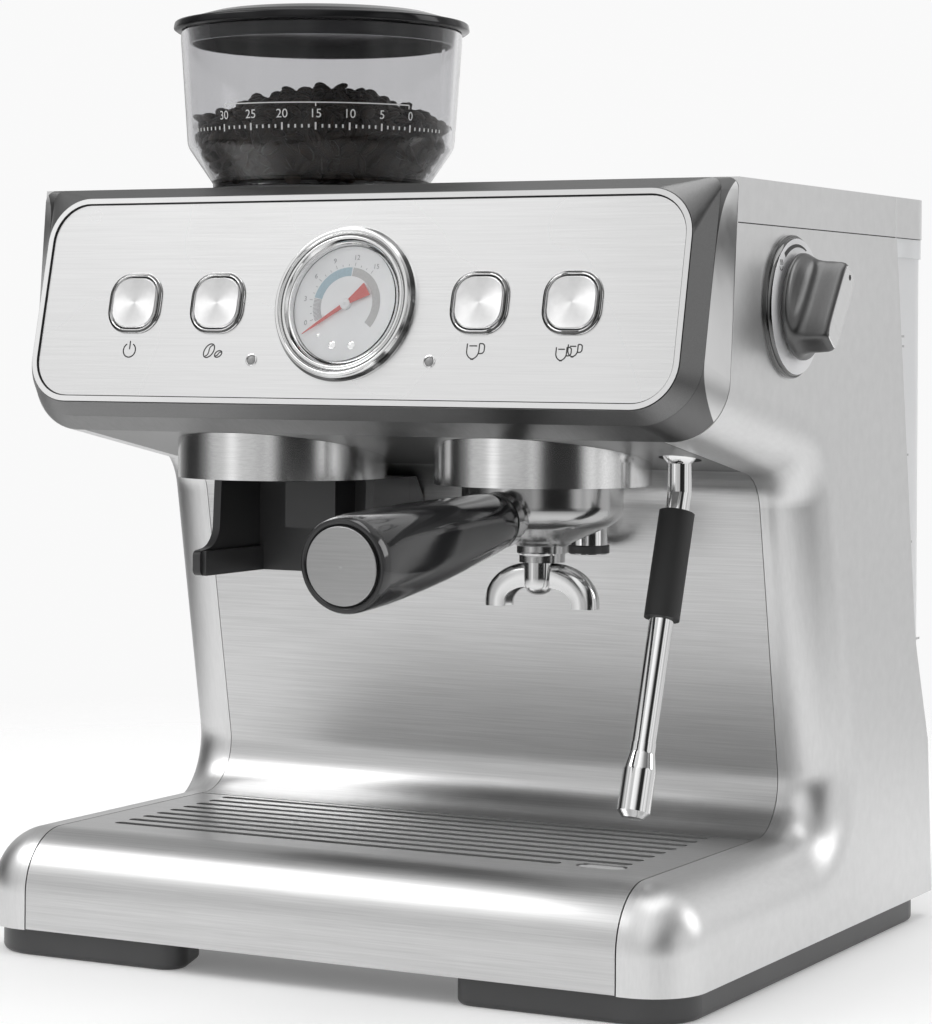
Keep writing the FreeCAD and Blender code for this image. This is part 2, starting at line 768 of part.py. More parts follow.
def make_gauge():
    """Pressure gauge: steel case with a deep ring, dial, needle and glass."""
    base = on_panel(0, S.gauge_v)
    rim = S.gauge_radius
    dial = S.dial_radius
    case = turned("GaugeCase", [
        (0, -24, 0), (dial + 1.6, -24, 0), (dial + 1.6, 0.1, 0), (rim, 0.1, 0), (rim, 3, 0),
        (rim - 2.5, 5.5, 0), (dial + 1.2, 5.5, 0), (dial, 3.6, 0), (dial, -20, 0), (0, -20, 0),
    ], base, "panel")
    node("gauge_case", case)
    plate = turned("GaugeDial", [(1.1, -2, 0), (dial - 0.1, -2, 0), (dial - 0.1, -1, 0),
                                 (1.1, -1, 0)], base, "panel")
    node("gauge_dial", plate)
    glass = tube("GaugeGlass", 0, dial - 0.1, 2.2, 3.4, base, "panel")
    node("gauge_lens", glass)
    spindle = cylinder("NeedleSpindle", on_panel(0, S.gauge_v, -6), 1.0, 7, "panel")
    hub = cylinder("NeedleHub", on_panel(0, S.gauge_v, 0), 2.4, 1.2, "panel")
    arm = prism("NeedleArm", "XY_Plane",
                [[(-0.3, -19, 0), (0.3, -19, 0), (0.8, 0, 0), (2.4, 9, 0), (-2.4, 9, 0),
                  (-0.8, 0, 0)]], base, 0.5)
    place(arm, on_panel(0, S.gauge_v, 0.2),
          rotation("panel").multiply(FreeCAD.Rotation(Z_AXIS, NEEDLE_REST)))
    node("gauge_needle", fuse("GaugeNeedle", [spindle, hub, arm]))


def make_control_board():
    """Circuit board behind the panel with one switch behind each button."""
    board = prism("Board", "XY_Plane", [square(0, 0, 128, 34, 3)], on_panel(0, 0, -17), 1.6,
                  circles=[(0, S.gauge_v, S.dial_radius + 3)], turn=rotation("panel"))
    parts = [board]
    for name, side, step in BUTTONS:
        x = button_x(side, step)
        body = prism(name + "_switch", "XY_Plane", [square(x, S.button_v, 3, 3, 0)],
                     on_panel(0, 0, -15.5), 2.6, turn=rotation("panel"))
        parts.append(body)
    node("control_board", fuse("ControlBoard", parts))


# ---------------------------------------------------------------- top, hopper and tank

COVER_WALL = 2.0
TANK_GAP = 0.5


def make_top_cover():
    """Top cover with a round opening for the hopper's collar."""
    rear = S.rear_high_y - 2.5
    front_low = seam_y(S.cover_seam_z) + S.seam_gap
    corners = [
        (front_low, S.cover_seam_z, 0), (rear, S.cover_seam_z, 0), (rear, S.top_z, 0),
        (seam_y(S.top_z) + S.seam_gap, S.top_z, 0),
    ]
    skin = across("CoverSkin", corners, S.shell_half_width)
    core = box("CoverCore", (-S.shell_half_width + COVER_WALL, front_low + 3, 300),
               (S.shell_half_width - COVER_WALL, rear - COVER_WALL, S.top_z - COVER_WALL))
    hole = cylinder("CollarHole", (S.grind_x, S.hopper_y, 300), 50.6, 50)
    node("top_cover", cut("TopCover", skin, [core, hole]))


def make_hopper_parts():
    """Collar, see-through hopper with its neck, and the lid with its skirt."""
    base = (S.grind_x, S.hopper_y, 0)
    flange_top = S.top_z - COVER_WALL - 0.1
    collar = turned("HopperCollar", [
        (44, 320, 0), (54, 320, 0), (54, flange_top, 0), (50.4, flange_top, 0),
        (50.4, S.top_z + 1.8, 0), (44, S.top_z + 1.8, 0),
    ], base)
    node("hopper_collar", collar)
    rim = S.hopper_radius
    rim_z = S.hopper_rim_z
    hopper = turned("Hopper", [
        (27, 311, 0), (29.5, 311, 0), (29.5, 334, 0), (48.8, 334, 0), (48.8, 335.8, 0),
        (60.2, 352.6, 8), (rim, rim_z - 4, 0), (rim, rim_z, 0), (rim - 2.5, rim_z, 0),
        (57.8, 353.6, 6), (47.4, 338.2, 0), (27, 336.6, 0),
    ], base)
    node("hopper", hopper)
    lid_top = S.hopper_lid_z
    lid = turned("HopperLid", [
        (0, rim_z + 0.4, 0), (rim - 5.4, rim_z + 0.4, 0), (rim - 5.4, rim_z - 14, 0),
        (rim - 3.6, rim_z - 14, 0), (rim - 3.6, rim_z + 0.4, 0), (rim + 3.5, rim_z + 0.4, 0),
        (rim + 3.5, rim_z + 4, 1), (rim - 2, rim_z + 5.5, 0), (55, lid_top, 3), (0, lid_top, 0),
    ], base)
    node("hopper_lid", lid)


TANK_FRONT = 89.5


def make_water_tank():
    """Removable tank: wide behind the side shells, narrower between them."""
    top = S.cover_seam_z - 0.3
    rear = S.tank_rear_y
    half = S.shell_half_width - 1.5

    def solid(name, wall, ceiling):
        slab = [
            (S.rear_high_y + TANK_GAP + wall, ceiling, 0),
            (S.rear_low_y + TANK_GAP + wall, S.rear_low_z, 0),
            (S.heel_y + TANK_GAP + wall * 0.4, S.tank_bottom_z + wall, 0),
            (rear - wall, S.tank_bottom_z + wall, 0), (rear - wall, ceiling, 0),
        ]
        block = prism(name + "Slab", "YZ_Plane", [slab[::-1]], (wall - half, 0, 0),
                      2 * (half - wall))
        corner = 25 - wall
        plan = [
            (wall - half, S.rear_high_y - 5, 0), (half - wall, S.rear_high_y - 5, 0),
            (half - wall, rear - wall, corner), (wall - half, rear - wall, corner),
        ]
        rounding = prism(name + "Rounding", "XY_Plane", [plan], (0, 0, 60), 300)
        wings = common(name + "Wings", block, rounding)
        bulk = [
            (TANK_FRONT + wall, ceiling, 0), (rear - wall, ceiling, 0),
            (rear - wall, S.tank_bottom_z + wall, 0),
            (TANK_FRONT + wall, S.tank_bottom_z + wall, 0),
        ]
        middle = across(name + "Middle", bulk, S.bay_half_width - 1.5 - wall)
        return fuse(name, [wings, middle])

    outer = solid("TankOuter", 0, top)
    inner = solid("TankInner", S.tank_wall.number, top + 5)
    node("water_tank", cut("WaterTank", outer, [inner]))


def make_tank_lid():
    low = S.cover_seam_z + 0.2
    front = S.rear_high_y - 2
    rear = S.tank_rear_y
    half = S.shell_half_width

    def plan(wall):
        return [(wall - half, front + wall, 1), (half - wall, front + wall, 1),
                (half - wall, rear - wall, 25 - wall), (wall - half, rear - wall, 25 - wall)]

    skin = prism("TankLidSkin", "XY_Plane", [plan(0)], (0, 0, low), S.top_z - low)
    core = prism("TankLidCore", "XY_Plane", [plan(2)], (0, 0, low - 1), S.top_z - low - 1)
    node("tank_lid", cut("TankLid", skin, [core]))


GLAND_X = -112
GLAND_Z = 42


def make_rear_panel():
    """Bent sheet that closes the works towards the tank and the back of the base."""
    path = [
        (TANK_FRONT - 3.5, S.cover_seam_z - 1, 0),
        (TANK_FRONT - 3.5, S.tank_bottom_z - 2, 6),
        (S.rear_y - 1.5, S.tank_bottom_z - 2, 4), (S.rear_y - 1.5, S.plinth_top + 2.6, 0),
    ]
    panel = across("RearSheet", strip(path, S.sheet), INNER)
    hole = cylinder("GlandHole", (GLAND_X, S.rear_y + 10, GLAND_Z), 8.1, 30, "front")
    node("rear_panel", cut("RearPanel", panel, [hole]))
    flange = cylinder("GlandFlange", (GLAND_X, S.rear_y + 1.8, GLAND_Z), 10.5, 3.2, "front")
    sleeve = cylinder("GlandSleeve", (GLAND_X, S.rear_y, GLAND_Z), 8, 10, "front")
    bore = cylinder("GlandBore", (GLAND_X, S.rear_y + 10, GLAND_Z), 3.6, 30, "front")
    node("power_inlet", cut("PowerInlet", fuse("GlandBody", [flange, sleeve]), [bore]))


# ---------------------------------------------------------------- grinder

GEAR_LOW = 262
SHAFT_RADIUS = 4


def gear_wheel(name, teeth, bore, centre, low, height, phase):
    """Spur gear with plain tapered teeth."""
    module = S.tooth_module.number
    pitch_radius = module * teeth / 2
    step = 2 * math.pi / teeth
    points = []
    for tooth in range(teeth):
        middle = tooth * step + math.radians(phase)
        for radius, share in ((pitch_radius - 1.25 * module, -0.32),
                              (pitch_radius + 0.85 * module, -0.11),
                              (pitch_radius + 0.85 * module, 0.11),
                              (pitch_radius - 1.25 * module, 0.32)):
            angle = middle + share * step
            points.append(FreeCAD.Vector(radius * math.cos(angle), radius * math.sin(angle), 0))
    blank = Part.Face(Part.makePolygon(points + points[:1])).extrude(Z_AXIS * height)
    item = doc.addObject("Part::Feature", name)
    item.Shape = blank.cut(Part.makeCylinder(bore, height))
    item.Placement = FreeCAD.Placement(FreeCAD.Vector(*centre, low), FreeCAD.Rotation())
    return item


def make_grinder():
    """Conical burrs over a geared motor, with a chute down to the outlet."""
    centre = (S.grind_x, S.hopper_y, 0)
    ring = turned("UpperBurr", [(24, 296, 0), (29.5, 296, 0), (29.5, 310.8, 0), (15, 310.8, 0)],
                  centre)
    node("upper_burr", ring)
    cone = turned("LowerBurr", [
        (0, GEAR_LOW - 2, 0), (SHAFT_RADIUS, GEAR_LOW - 2, 0), (SHAFT_RADIUS, 292, 0),
        (23, 292, 0), (22.6, 296, 0), (13.4, 311, 0), (0, 311, 0),
    ], centre)
    node("lower_burr", cone)
    cup = turned("HousingCup", [
        (SHAFT_RADIUS + 0.06, 274, 0), (41, 274, 0), (41, 317, 0), (38, 317, 0),
        (38, 277.5, 0), (SHAFT_RADIUS + 0.06, 277.5, 0),
    ], centre)
    outlet = cylinder("HousingOutlet", (CHUTE_X, CHUTE_Y, 270), 8, 20)
    node("grinder_housing", cut("GrinderHousing", cup, [outlet]))
    gear_teeth = int(S.gear_teeth.number)
    pinion_teeth = int(S.pinion_teeth.number)
    spacing = S.tooth_module * (S.gear_teeth + S.pinion_teeth) / 2
    axis = (S.grind_x.number, S.hopper_y.number)
    gear = gear_wheel("BurrGear", gear_teeth, SHAFT_RADIUS + 0.05, axis, GEAR_LOW, 8, 0)
    node("burr_gear", gear)
    motor_y = S.hopper_y + spacing
    pinion = gear_wheel("PinionTeeth", pinion_teeth, 2, (axis[0], motor_y.number),
                        GEAR_LOW - 1, 10, 180 / pinion_teeth)
    shaft = cylinder("PinionShaft", (S.grind_x, motor_y, 236), 2.5, GEAR_LOW + 9 - 236)
    node("motor_pinion", fuse("MotorPinion", [pinion, shaft]))
    motor = turned("GrinderMotor", [
        (0, 217.5, 0), (22, 217.5, 2), (22, 256, 2), (8, 256, 0), (8, 259, 0), (2.56, 259, 0),
        (2.56, 235, 0), (0, 235, 0),
    ], (S.grind_x, motor_y, 0))
    node("grinder_motor", motor)


CHUTE_LOW = 203


def make_chute():
    radius = CHUTE_RADIUS
    cover = S.ring_radius - 4
    chute = turned("GrindChute", [
        (8, CHUTE_LOW, 0), (radius, CHUTE_LOW, 0), (radius, 205.8, 0), (cover - 1, 205.8, 0),
        (cover - 1, 208, 0), (radius, 208, 0), (radius, 273.9, 0), (8, 273.9, 0),
    ], (CHUTE_X, CHUTE_Y, 0))
    node("grind_chute", chute)


def outlet_ring(name, x):
    """Steel ring whose top edge follows the sloping underside."""
    ring = tube(name + "Tube", S.ring_radius - 3, S.ring_radius, S.ring_bottom_z, 228,
                (x, S.outlet_y, 0))
    front = S.chin_y - 5
    rear = S.throat_high_y - 5
    bend = S.throat_high_y - 13
    head = prism(name + "Head", "YZ_Plane",
                 [[(front, underside_z(front) - 0.1, 0), (front, 240, 0), (rear, 240, 0),
                   (rear, S.ring_bottom_z + 1.6, 0), (bend, underside_z(bend) - 0.1, 0)]],
                 (x - 60, 0, 0), 120)
    return cut(name, ring, [head])


def make_outlet_rings():
    node("grinder_ring", outlet_ring("GrinderRing", S.grind_x))
    node("group_ring", outlet_ring("GroupRing", S.brew_x))


CRADLE_LOW = 160
CRADLE_HIGH = 204.6
CRADLE_FRONT = -66
CRADLE_TOP_FRONT = -48
CRADLE_REAR = -15
CRADLE_HALF = 41.3
CRADLE_WALL = 3.8
RAIL_HIGH = 171
RAIL_WIDTH = 2.1
STOP_LOW = 181


def make_cradle():
    """Black holder that the portafilter slides into under the grinder outlet."""
    back = prism("CradleBack", "YZ_Plane",
                 [[(CRADLE_REAR, CRADLE_LOW, 0), (CRADLE_REAR, CRADLE_HIGH, 0),
                   (-9, CRADLE_HIGH, 0), (throat_y(194) - 0.3, 194, 0),
                   (throat_y(CRADLE_LOW) - 0.3, CRADLE_LOW, 0)]],
                 (S.grind_x - CRADLE_HALF, 0, 0), 2 * CRADLE_HALF)
    stop = box("CradleStop", (S.grind_x - 13, -33, STOP_LOW), (S.grind_x + 13, -14, CRADLE_HIGH))
    parts = [back, stop]
    for side in (-1, 1):
        inner_x = S.grind_x + (CRADLE_HALF - CRADLE_WALL if side > 0 else -CRADLE_HALF)
        wall = prism("CradleWall" + str(side + 1), "YZ_Plane",
                     [[(CRADLE_REAR - 0.1, CRADLE_LOW, 0), (CRADLE_FRONT, CRADLE_LOW, 3),
                       (CRADLE_FRONT, RAIL_HIGH, 2.5), (CRADLE_TOP_FRONT - 2, RAIL_HIGH + 2, 11),
                       (CRADLE_TOP_FRONT, CRADLE_HIGH, 0),
                       (CRADLE_REAR - 0.1, CRADLE_HIGH, 0)]],
                     (inner_x, 0, 0), CRADLE_WALL)
        rail_x = S.grind_x + (CRADLE_HALF - CRADLE_WALL - RAIL_WIDTH if side > 0
                              else CRADLE_WALL - CRADLE_HALF - 0.1)
        rail = box("CradleRail" + str(side + 1), (rail_x, CRADLE_FRONT + 2, CRADLE_LOW),
                   (rail_x + RAIL_WIDTH + 0.1, CRADLE_REAR, RAIL_HIGH))
        parts += [wall, rail]
    node("cradle", fuse("Cradle", parts))


# ---------------------------------------------------------------- brew group

LOCK_LOW = 206
LOCK_HIGH = 209.6
CEILING = 214.8


def make_group():
    """Group head with its lock ledges, gasket and shower screen."""
    base = (S.brew_x, S.outlet_y, 0)
    wall = S.lug_radius + 0.5
    head = turned("GroupCasting", [
        (35, LOCK_LOW, 0), (42, LOCK_LOW, 0), (42, 226, 0), (36, 230, 0), (36, 246, 2),
        (0, 246, 0), (0, 217.4, 0), (27.2, 217.4, 0), (27.2, 221, 0), (34.8, 221, 0),
        (34.8, CEILING, 0), (wall, CEILING, 0), (wall, LOCK_HIGH, 0), (35, LOCK_HIGH, 0),
    ], base)
    entries = [sector("LugEntry" + str(middle), (S.brew_x, S.outlet_y, LOCK_LOW - 1), wall,
                      LOCK_HIGH - LOCK_LOW + 2, middle, 52) for middle in (-47, 133)]
    node("group_head", cut("GroupHead", head, entries))
    gasket = tube("GroupGasket", 27.5, 34.5, 214.6, 220.9, base)
    node("group_gasket", gasket)
    screen = turned("ShowerScreen", [(0, 215.2, 0), (26, 215.2, 0), (26.9, 216, 0),
                                     (26.9, 217.3, 0), (0, 217.3, 0)], base)
    node("shower_screen", screen)


HANDLE_ROOT_Z = 195.2
HANDLE_START = 45.0


def make_portafilter():
    """Filter holder with two lugs, its basket, handle and twin spout."""
    base = (S.brew_x, S.outlet_y, 0)
    outer = S.filter_body_radius
    rim_z = 213.3
    cup = turned("FilterCup", [
        (0, 172.1, 0), (9.75, 172.1, 0), (9.75, 176, 0), (10.8, 176, 0), (10.8, 179, 0),
        (13, 180.5, 6), (outer, 190, 10), (outer, rim_z, 0), (0, rim_z, 0),
    ], base)
    hollow = turned("FilterHollow", [
        (0, 170, 0), (4, 170, 0), (4, 182, 0), (outer - 3.4, 191.5, 4),
        (outer - 3.4, rim_z + 1, 0), (0, rim_z + 1, 0),
    ], base)
    lugs = []
    for middle in (0, 180):
        lugs.append(sector("Lug" + str(middle), (S.brew_x, S.outlet_y, 210.1), S.lug_radius, 3,
                           middle, 38))
    root = (S.brew_x, S.outlet_y, HANDLE_ROOT_Z)
    boss = turned("HandleBoss", [
        (0, 31.8, 0), (9.5, 31.8, 0), (9.5, 37, 0), (11.8, 40, 0), (11.8, HANDLE_START, 0),
        (0, HANDLE_START, 0),
    ], root, "handle")
    body = fuse("FilterBody", [cup, boss] + lugs)
    node("portafilter_body", cut("PortafilterBody", body, [hollow]))
    basket = turned("FilterBasket", [
        (0, 192.4, 0), (27, 192.4, 3), (29.6, 197, 0), (29.6, 213.4, 0), (34.2, 213.4, 0),
        (34.2, 214.2, 0), (28.8, 214.2, 0), (28.8, 197, 0), (26.4, 193.2, 2), (0, 193.2, 0),
    ], base)
    node("filter_basket", basket)
    end = S.handle_reach - 1.3
    grip = turned("HandleGrip", [
        (0, HANDLE_START + 0.1, 0), (11.4, HANDLE_START + 0.1, 0), (12.6, 62, 30),
        (16.4, 108, 40), (S.handle_radius, 150, 20), (S.handle_radius - 0.6, end, 1.5),
        (15.4, end, 0), (15.4, end - 1, 0), (0, end - 1, 0),
    ], root, "handle")
    node("portafilter_handle", grip)
    disc = turned("HandleCap", [(0, end - 0.9, 0), (15.2, end - 0.9, 0),
                                (15.2, S.handle_reach - 0.4, 0.3), (0, S.handle_reach, 0)],
                  root, "handle")
    node("handle_cap", disc)
    make_twin_spout()


def spout_pipe(name, radius):
    """Arch of two bends; both mouths point down."""
    reach = S.spout_pitch / 2
    body = new_body(name)
    path = new_sketch(body, "XZ_Plane")
    outline(path, [(-reach, 0, 0), (-reach, 12, 11.5), (reach, 12, 11.5), (reach, 0, 0)], False)
    mouth = new_sketch(body, "XY_Plane")
    ring_outline(mouth, -reach, 0, radius)
    doc.recompute()
    pipe = body.newObject("PartDesign::AdditivePipe", name + "Pipe")
    pipe.Profile = mouth
    pipe.Spine = path
    place(body, (S.brew_x, S.outlet_y, S.spout_z))
    return body


def make_twin_spout():
    neck = cylinder("SpoutNeck", (S.brew_x, S.outlet_y, S.spout_z + 10), 9.75, 7.6)
    shell = fuse("SpoutShell", [spout_pipe("SpoutOuter", 5.6), neck])
    drill = cylinder("SpoutDrill", (S.brew_x, S.outlet_y, S.spout_z + 12), 3, 10)
    bore = [spout_pipe("SpoutBore", 3.6), drill]
    node("portafilter_spout", cut("PortafilterSpout", shell, bore))


def make_works():
    """Heater, pump and steam valve inside the housing."""
    boiler = turned("Boiler", [(0, 228, 0), (30, 228, 3), (30, 288, 8), (0, 294, 0)],
                    (S.brew_x, 17, 0))
    node("boiler", boiler)
    pump = turned("Pump", [
        (0, -48, 0), (5, -48, 0), (5, -34, 0), (15, -34, 2), (18, -30, 0), (18, 22, 0),
        (13, 26, 0), (13, 40, 2), (4, 42, 0), (4, 54, 0), (0, 54, 0),
    ], (20, 52, 122), "x")
    node("pump", pump)
    block = box("ValveBlock", (118, S.knob_y - 16, S.knob_z - 15), (158, S.knob_y + 16,
                                                                    S.knob_z + 15))
    stem_hole = cylinder("StemHole", (140, S.knob_y, S.knob_z), 3.06, 30, "x")
    node("steam_valve", cut("SteamValve", block, [stem_hole]))


# ---------------------------------------------------------------- steam side

WING_HALF_WIDTH = 7.5
WING_HALF_LENGTH = 20.2
WING_HEIGHT = 15.6
WING_EDGE = 2


def make_knob():
    """Plate and wing knob of the steam valve, on the right side."""
    face = S.shell_half_width
    base = (0, S.knob_y, S.knob_z)
    radius = S.knob_plate_radius
    plate = turned("KnobPlate", [(7, face, 0), (radius, face, 0), (radius, face + 2, 0),
                                 (radius - 1.5, face + 3.5, 0), (7, face + 3.5, 0)], base, "x")
    node("knob_plate", plate)
    dial = turned("KnobDial", [
        (0, 145, 0), (3, 145, 0), (3, face + 3.8, 0), (22.2, face + 3.8, 0),
        (22.2, face + 6, 0), (21, face + 7.5, 0), (0, face + 7.5, 0),
    ], base, "x")
    wing = prism("KnobWing", "YZ_Plane", [square(0, 0, WING_HALF_WIDTH, WING_HALF_LENGTH, 5)],
                 (face + 7.4, 0, 0), WING_HEIGHT)
    round_edges(wing, WING_EDGE, lambda edge: near(edge.BoundBox.XMin, WING_HEIGHT))
    place(wing, (face + 7.4, S.knob_y, S.knob_z), FreeCAD.Rotation(X_AXIS, -S.knob_tilt.number))
    node("steam_knob", fuse("SteamKnob", [dial, wing]))


def make_wand():
    """Steam wand: ball joint, bent tube, rubber grip and tip."""
    bend = (S.wand_x, S.outlet_y, S.wand_bend_z)
    radius = S.wand_tube_radius
    tip_start = S.wand_length - 30.7
    parts = [
        ball("WandBall", (S.wand_x, S.outlet_y, 221.5), BALL_RADIUS),
        cylinder("WandDrop", bend, radius, 36),
        ball("WandBend", bend, radius),
        cylinder("WandTube", bend, radius, tip_start, "wand"),
    ]
    node("steam_wand", fuse("SteamWand", parts))
    node("wand_grip", tube("WandGrip", radius + 0.02, 7.4, 8.5, 54, bend, "wand"))
    length = S.wand_length
    tip = turned("WandTip", [
        (0, tip_start + 0.05, 0), (5.3, tip_start + 0.05, 0), (5.4, tip_start + 4, 4),
        (6.85, tip_start + 11, 4), (6.85, length - 2.5, 0), (4.5, length, 0), (0, length, 0),
    ], bend, "wand")
    node("wand_tip", tip)


def make_hot_water_spout():
    post = turned("WaterPost", [
        (0, 173.2, 0), (8.8, 173.2, 0), (8.8, 176.9, 0), (8.2, 176.9, 0), (8.2, 199, 3),
        (0, 199, 0),
    ], (S.water_x, S.water_y, 0))
    arm_start = S.water_y
    arm = cylinder("WaterArm", (S.water_x, throat_y(190) - 2.2, 190), 6, throat_y(190) - 2.2
                   - arm_start, "front")
    node("hot_water_spout", fuse("HotWaterSpout", [post, arm]))


# ---------------------------------------------------------------- drip tray

TRAY_FRONT = -123
TRAY_REAR = -8
TRAY_LOW = 14.1
TRAY_HIGH = 50.9
TRAY_HALF = 136
TRAY_WALL = 2.5
SLOT_LEFT = -123.5
SLOT_RIGHT = 121
SLOT_SHORT = 94
SLOT_HALF = 2.5
SLOT_PITCH = 11
SLOT_ROWS = 9
SLOT_FRONT = -100
FLOAT_X = 112
FLOAT_Y = -99


def make_drip_tray():
    middle = (TRAY_FRONT + TRAY_REAR) / 2
    depth = (TRAY_REAR - TRAY_FRONT) / 2
    outer = prism("TrayOuter", "XY_Plane", [square(0, middle, TRAY_HALF, depth, 8)],
                  (0, 0, TRAY_LOW), TRAY_HIGH - TRAY_LOW)
    inner = prism("TrayInner", "XY_Plane",
                  [square(0, middle, TRAY_HALF - TRAY_WALL, depth - TRAY_WALL, 5.5)],
                  (0, 0, TRAY_LOW + TRAY_WALL), TRAY_HIGH - TRAY_LOW)
    node("drip_tray", cut("DripTray", outer, [inner]))


def make_drip_grid():
    """Stainless cover of the tray: slotted deck with a rounded front."""
    path = [
        (S.front_y + 139.2, S.deck_z, 0),
        (S.front_y, S.deck_z, S.front_round),
        (S.front_y, S.plinth_top + 0.4, 0),
    ]
    corners = strip(path[::-1], S.sheet)
    cover = across("GridSheet", corners, INNER - 0.3)
    slots = new_body("GridSlots")
    sketch = new_sketch(slots, "XY_Plane")
    outline(sketch, square((SLOT_LEFT + SLOT_RIGHT) / 2, SLOT_FRONT + SLOT_PITCH,
                           (SLOT_RIGHT - SLOT_LEFT) / 2, SLOT_HALF, SLOT_HALF - 0.1))
    first = pad(slots, sketch, 20)
    doc.recompute()
    pattern = slots.newObject("PartDesign::LinearPattern", "SlotRows")
    pattern.Originals = [first]
    pattern.Direction = (sketch, ["V_Axis"])
    pattern.Length = SLOT_PITCH * (SLOT_ROWS - 2)
    pattern.Occurrences = SLOT_ROWS - 1
    slots.Tip = pattern
    place(slots, (0, 0, 40))
    front_slot = prism("FrontSlot", "XY_Plane",
                       [square((SLOT_LEFT + SLOT_SHORT) / 2, SLOT_FRONT,
                               (SLOT_SHORT - SLOT_LEFT) / 2, SLOT_HALF, SLOT_HALF - 0.1)],
                       (0, 0, 40), 20)
    window = prism("FloatWindow", "XY_Plane", [square(FLOAT_X, FLOAT_Y, 11, 5, 4.9)], (0, 0, 40),
                   20)
    node("drip_grid", cut("DripGrid", cover, [slots, front_slot, window]))


def make_tray_float():
    marker = prism("FloatMarker", "XY_Plane", [square(FLOAT_X, FLOAT_Y, 10, 4, 3.9)], (0, 0, 30),
                   22.6)
    foot = prism("FloatFoot", "XY_Plane", [square(FLOAT_X, FLOAT_Y, 15, 9, 4)],
                 (0, 0, TRAY_LOW + TRAY_WALL + 0.4), 14)
    node("tray_float", fuse("TrayFloat", [marker, foot]))


# ---------------------------------------------------------------- whole machine

def make_machine():
    make_plinth()
    make_base_plate()
    make_side_shells()
    make_backsplash()
    make_head_underside()
    make_head_collar()
    make_bezel()
    make_trim_ring()
    make_front_panel()
    make_button_surrounds()
    make_buttons()
    make_indicator_lenses()
    make_gauge()
    make_control_board()
    make_top_cover()
    make_hopper_parts()
    make_water_tank()
    make_tank_lid()
    make_rear_panel()
    make_grinder()
    make_chute()
    make_outlet_rings()
    make_cradle()
    make_group()
    make_portafilter()
    make_works()
    make_knob()
    make_wand()
    make_hot_water_spout()
    make_drip_tray()
    make_drip_grid()
    make_tray_float()


def check_document():
    for item in doc.Objects:
        if "Invalid" in item.State or "Error" in item.State:
            raise RuntimeError(item.Name + " failed: " + item.getStatusString())
    for item in nodes:
        if item.Shape.isNull() or not item.Shape.isValid():
            raise RuntimeError(item.Label + " has no valid shape")


def write_parts():
    os.makedirs("parts", exist_ok=True)
    for item in nodes:
        item.Shape.exportStep("parts/" + item.Label + ".step")
    print(len(nodes), "parts written")


make_machine()
doc.recompute()
check_document()
write_parts()
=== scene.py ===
"""Espresso machine with a built-in grinder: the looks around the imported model, in metres."""

import json
import math
import random

import bmesh
import bpy
from mathutils import Euler, Matrix, Vector


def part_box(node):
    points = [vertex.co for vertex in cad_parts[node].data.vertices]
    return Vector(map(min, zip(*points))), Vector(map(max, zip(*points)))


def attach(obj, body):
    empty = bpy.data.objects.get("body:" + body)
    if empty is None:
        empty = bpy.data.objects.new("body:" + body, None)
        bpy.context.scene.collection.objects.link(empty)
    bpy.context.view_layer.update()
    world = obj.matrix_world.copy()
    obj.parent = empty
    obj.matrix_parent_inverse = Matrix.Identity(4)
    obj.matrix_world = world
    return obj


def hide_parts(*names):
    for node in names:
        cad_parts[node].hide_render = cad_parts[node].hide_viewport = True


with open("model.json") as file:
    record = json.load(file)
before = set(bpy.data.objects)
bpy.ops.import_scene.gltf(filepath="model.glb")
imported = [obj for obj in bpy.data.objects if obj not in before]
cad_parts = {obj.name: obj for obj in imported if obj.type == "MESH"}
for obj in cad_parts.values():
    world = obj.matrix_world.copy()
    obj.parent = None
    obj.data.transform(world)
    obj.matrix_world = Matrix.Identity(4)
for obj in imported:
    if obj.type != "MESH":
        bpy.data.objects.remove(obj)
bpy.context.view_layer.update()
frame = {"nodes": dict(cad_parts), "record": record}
NODES = frame["nodes"]
MM = 0.001


def turned_point(radius, angle, height=0.0):
    """A point at an angle, in degrees, round the Z axis."""
    turn = math.radians(angle)
    return Vector((radius * math.cos(turn), radius * math.sin(turn), height))


def middle(node):
    """Centre of a node's box."""
    low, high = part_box(node)
    return (low + high) / 2


# ---- the leaning front panel

PANEL_LEAN = math.radians(13)
PANEL_HALF_HEIGHT = 42.8 * MM
PANEL_UP = Vector((0, math.sin(PANEL_LEAN), math.cos(PANEL_LEAN)))
PANEL_OUT = Vector((0, -math.cos(PANEL_LEAN), math.sin(PANEL_LEAN)))
PANEL_LOW, PANEL_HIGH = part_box("front_panel")
PANEL_CENTRE = Vector((0, PANEL_LOW.y, PANEL_HIGH.z)) + PANEL_HALF_HEIGHT * Vector(
    (0, math.sin(PANEL_LEAN), -math.cos(PANEL_LEAN)))


def on_panel(across, up, out=0.0):
    """Placement of something that stands on the front panel's face; its Z axis points out."""
    place = PANEL_CENTRE + Vector((across, 0, 0)) + up * PANEL_UP + out * PANEL_OUT
    return Matrix.Translation(place) @ Matrix.Rotation(math.pi / 2 - PANEL_LEAN, 4, "X")


# ---- materials


NOISE_ROUGHNESS = 0.55


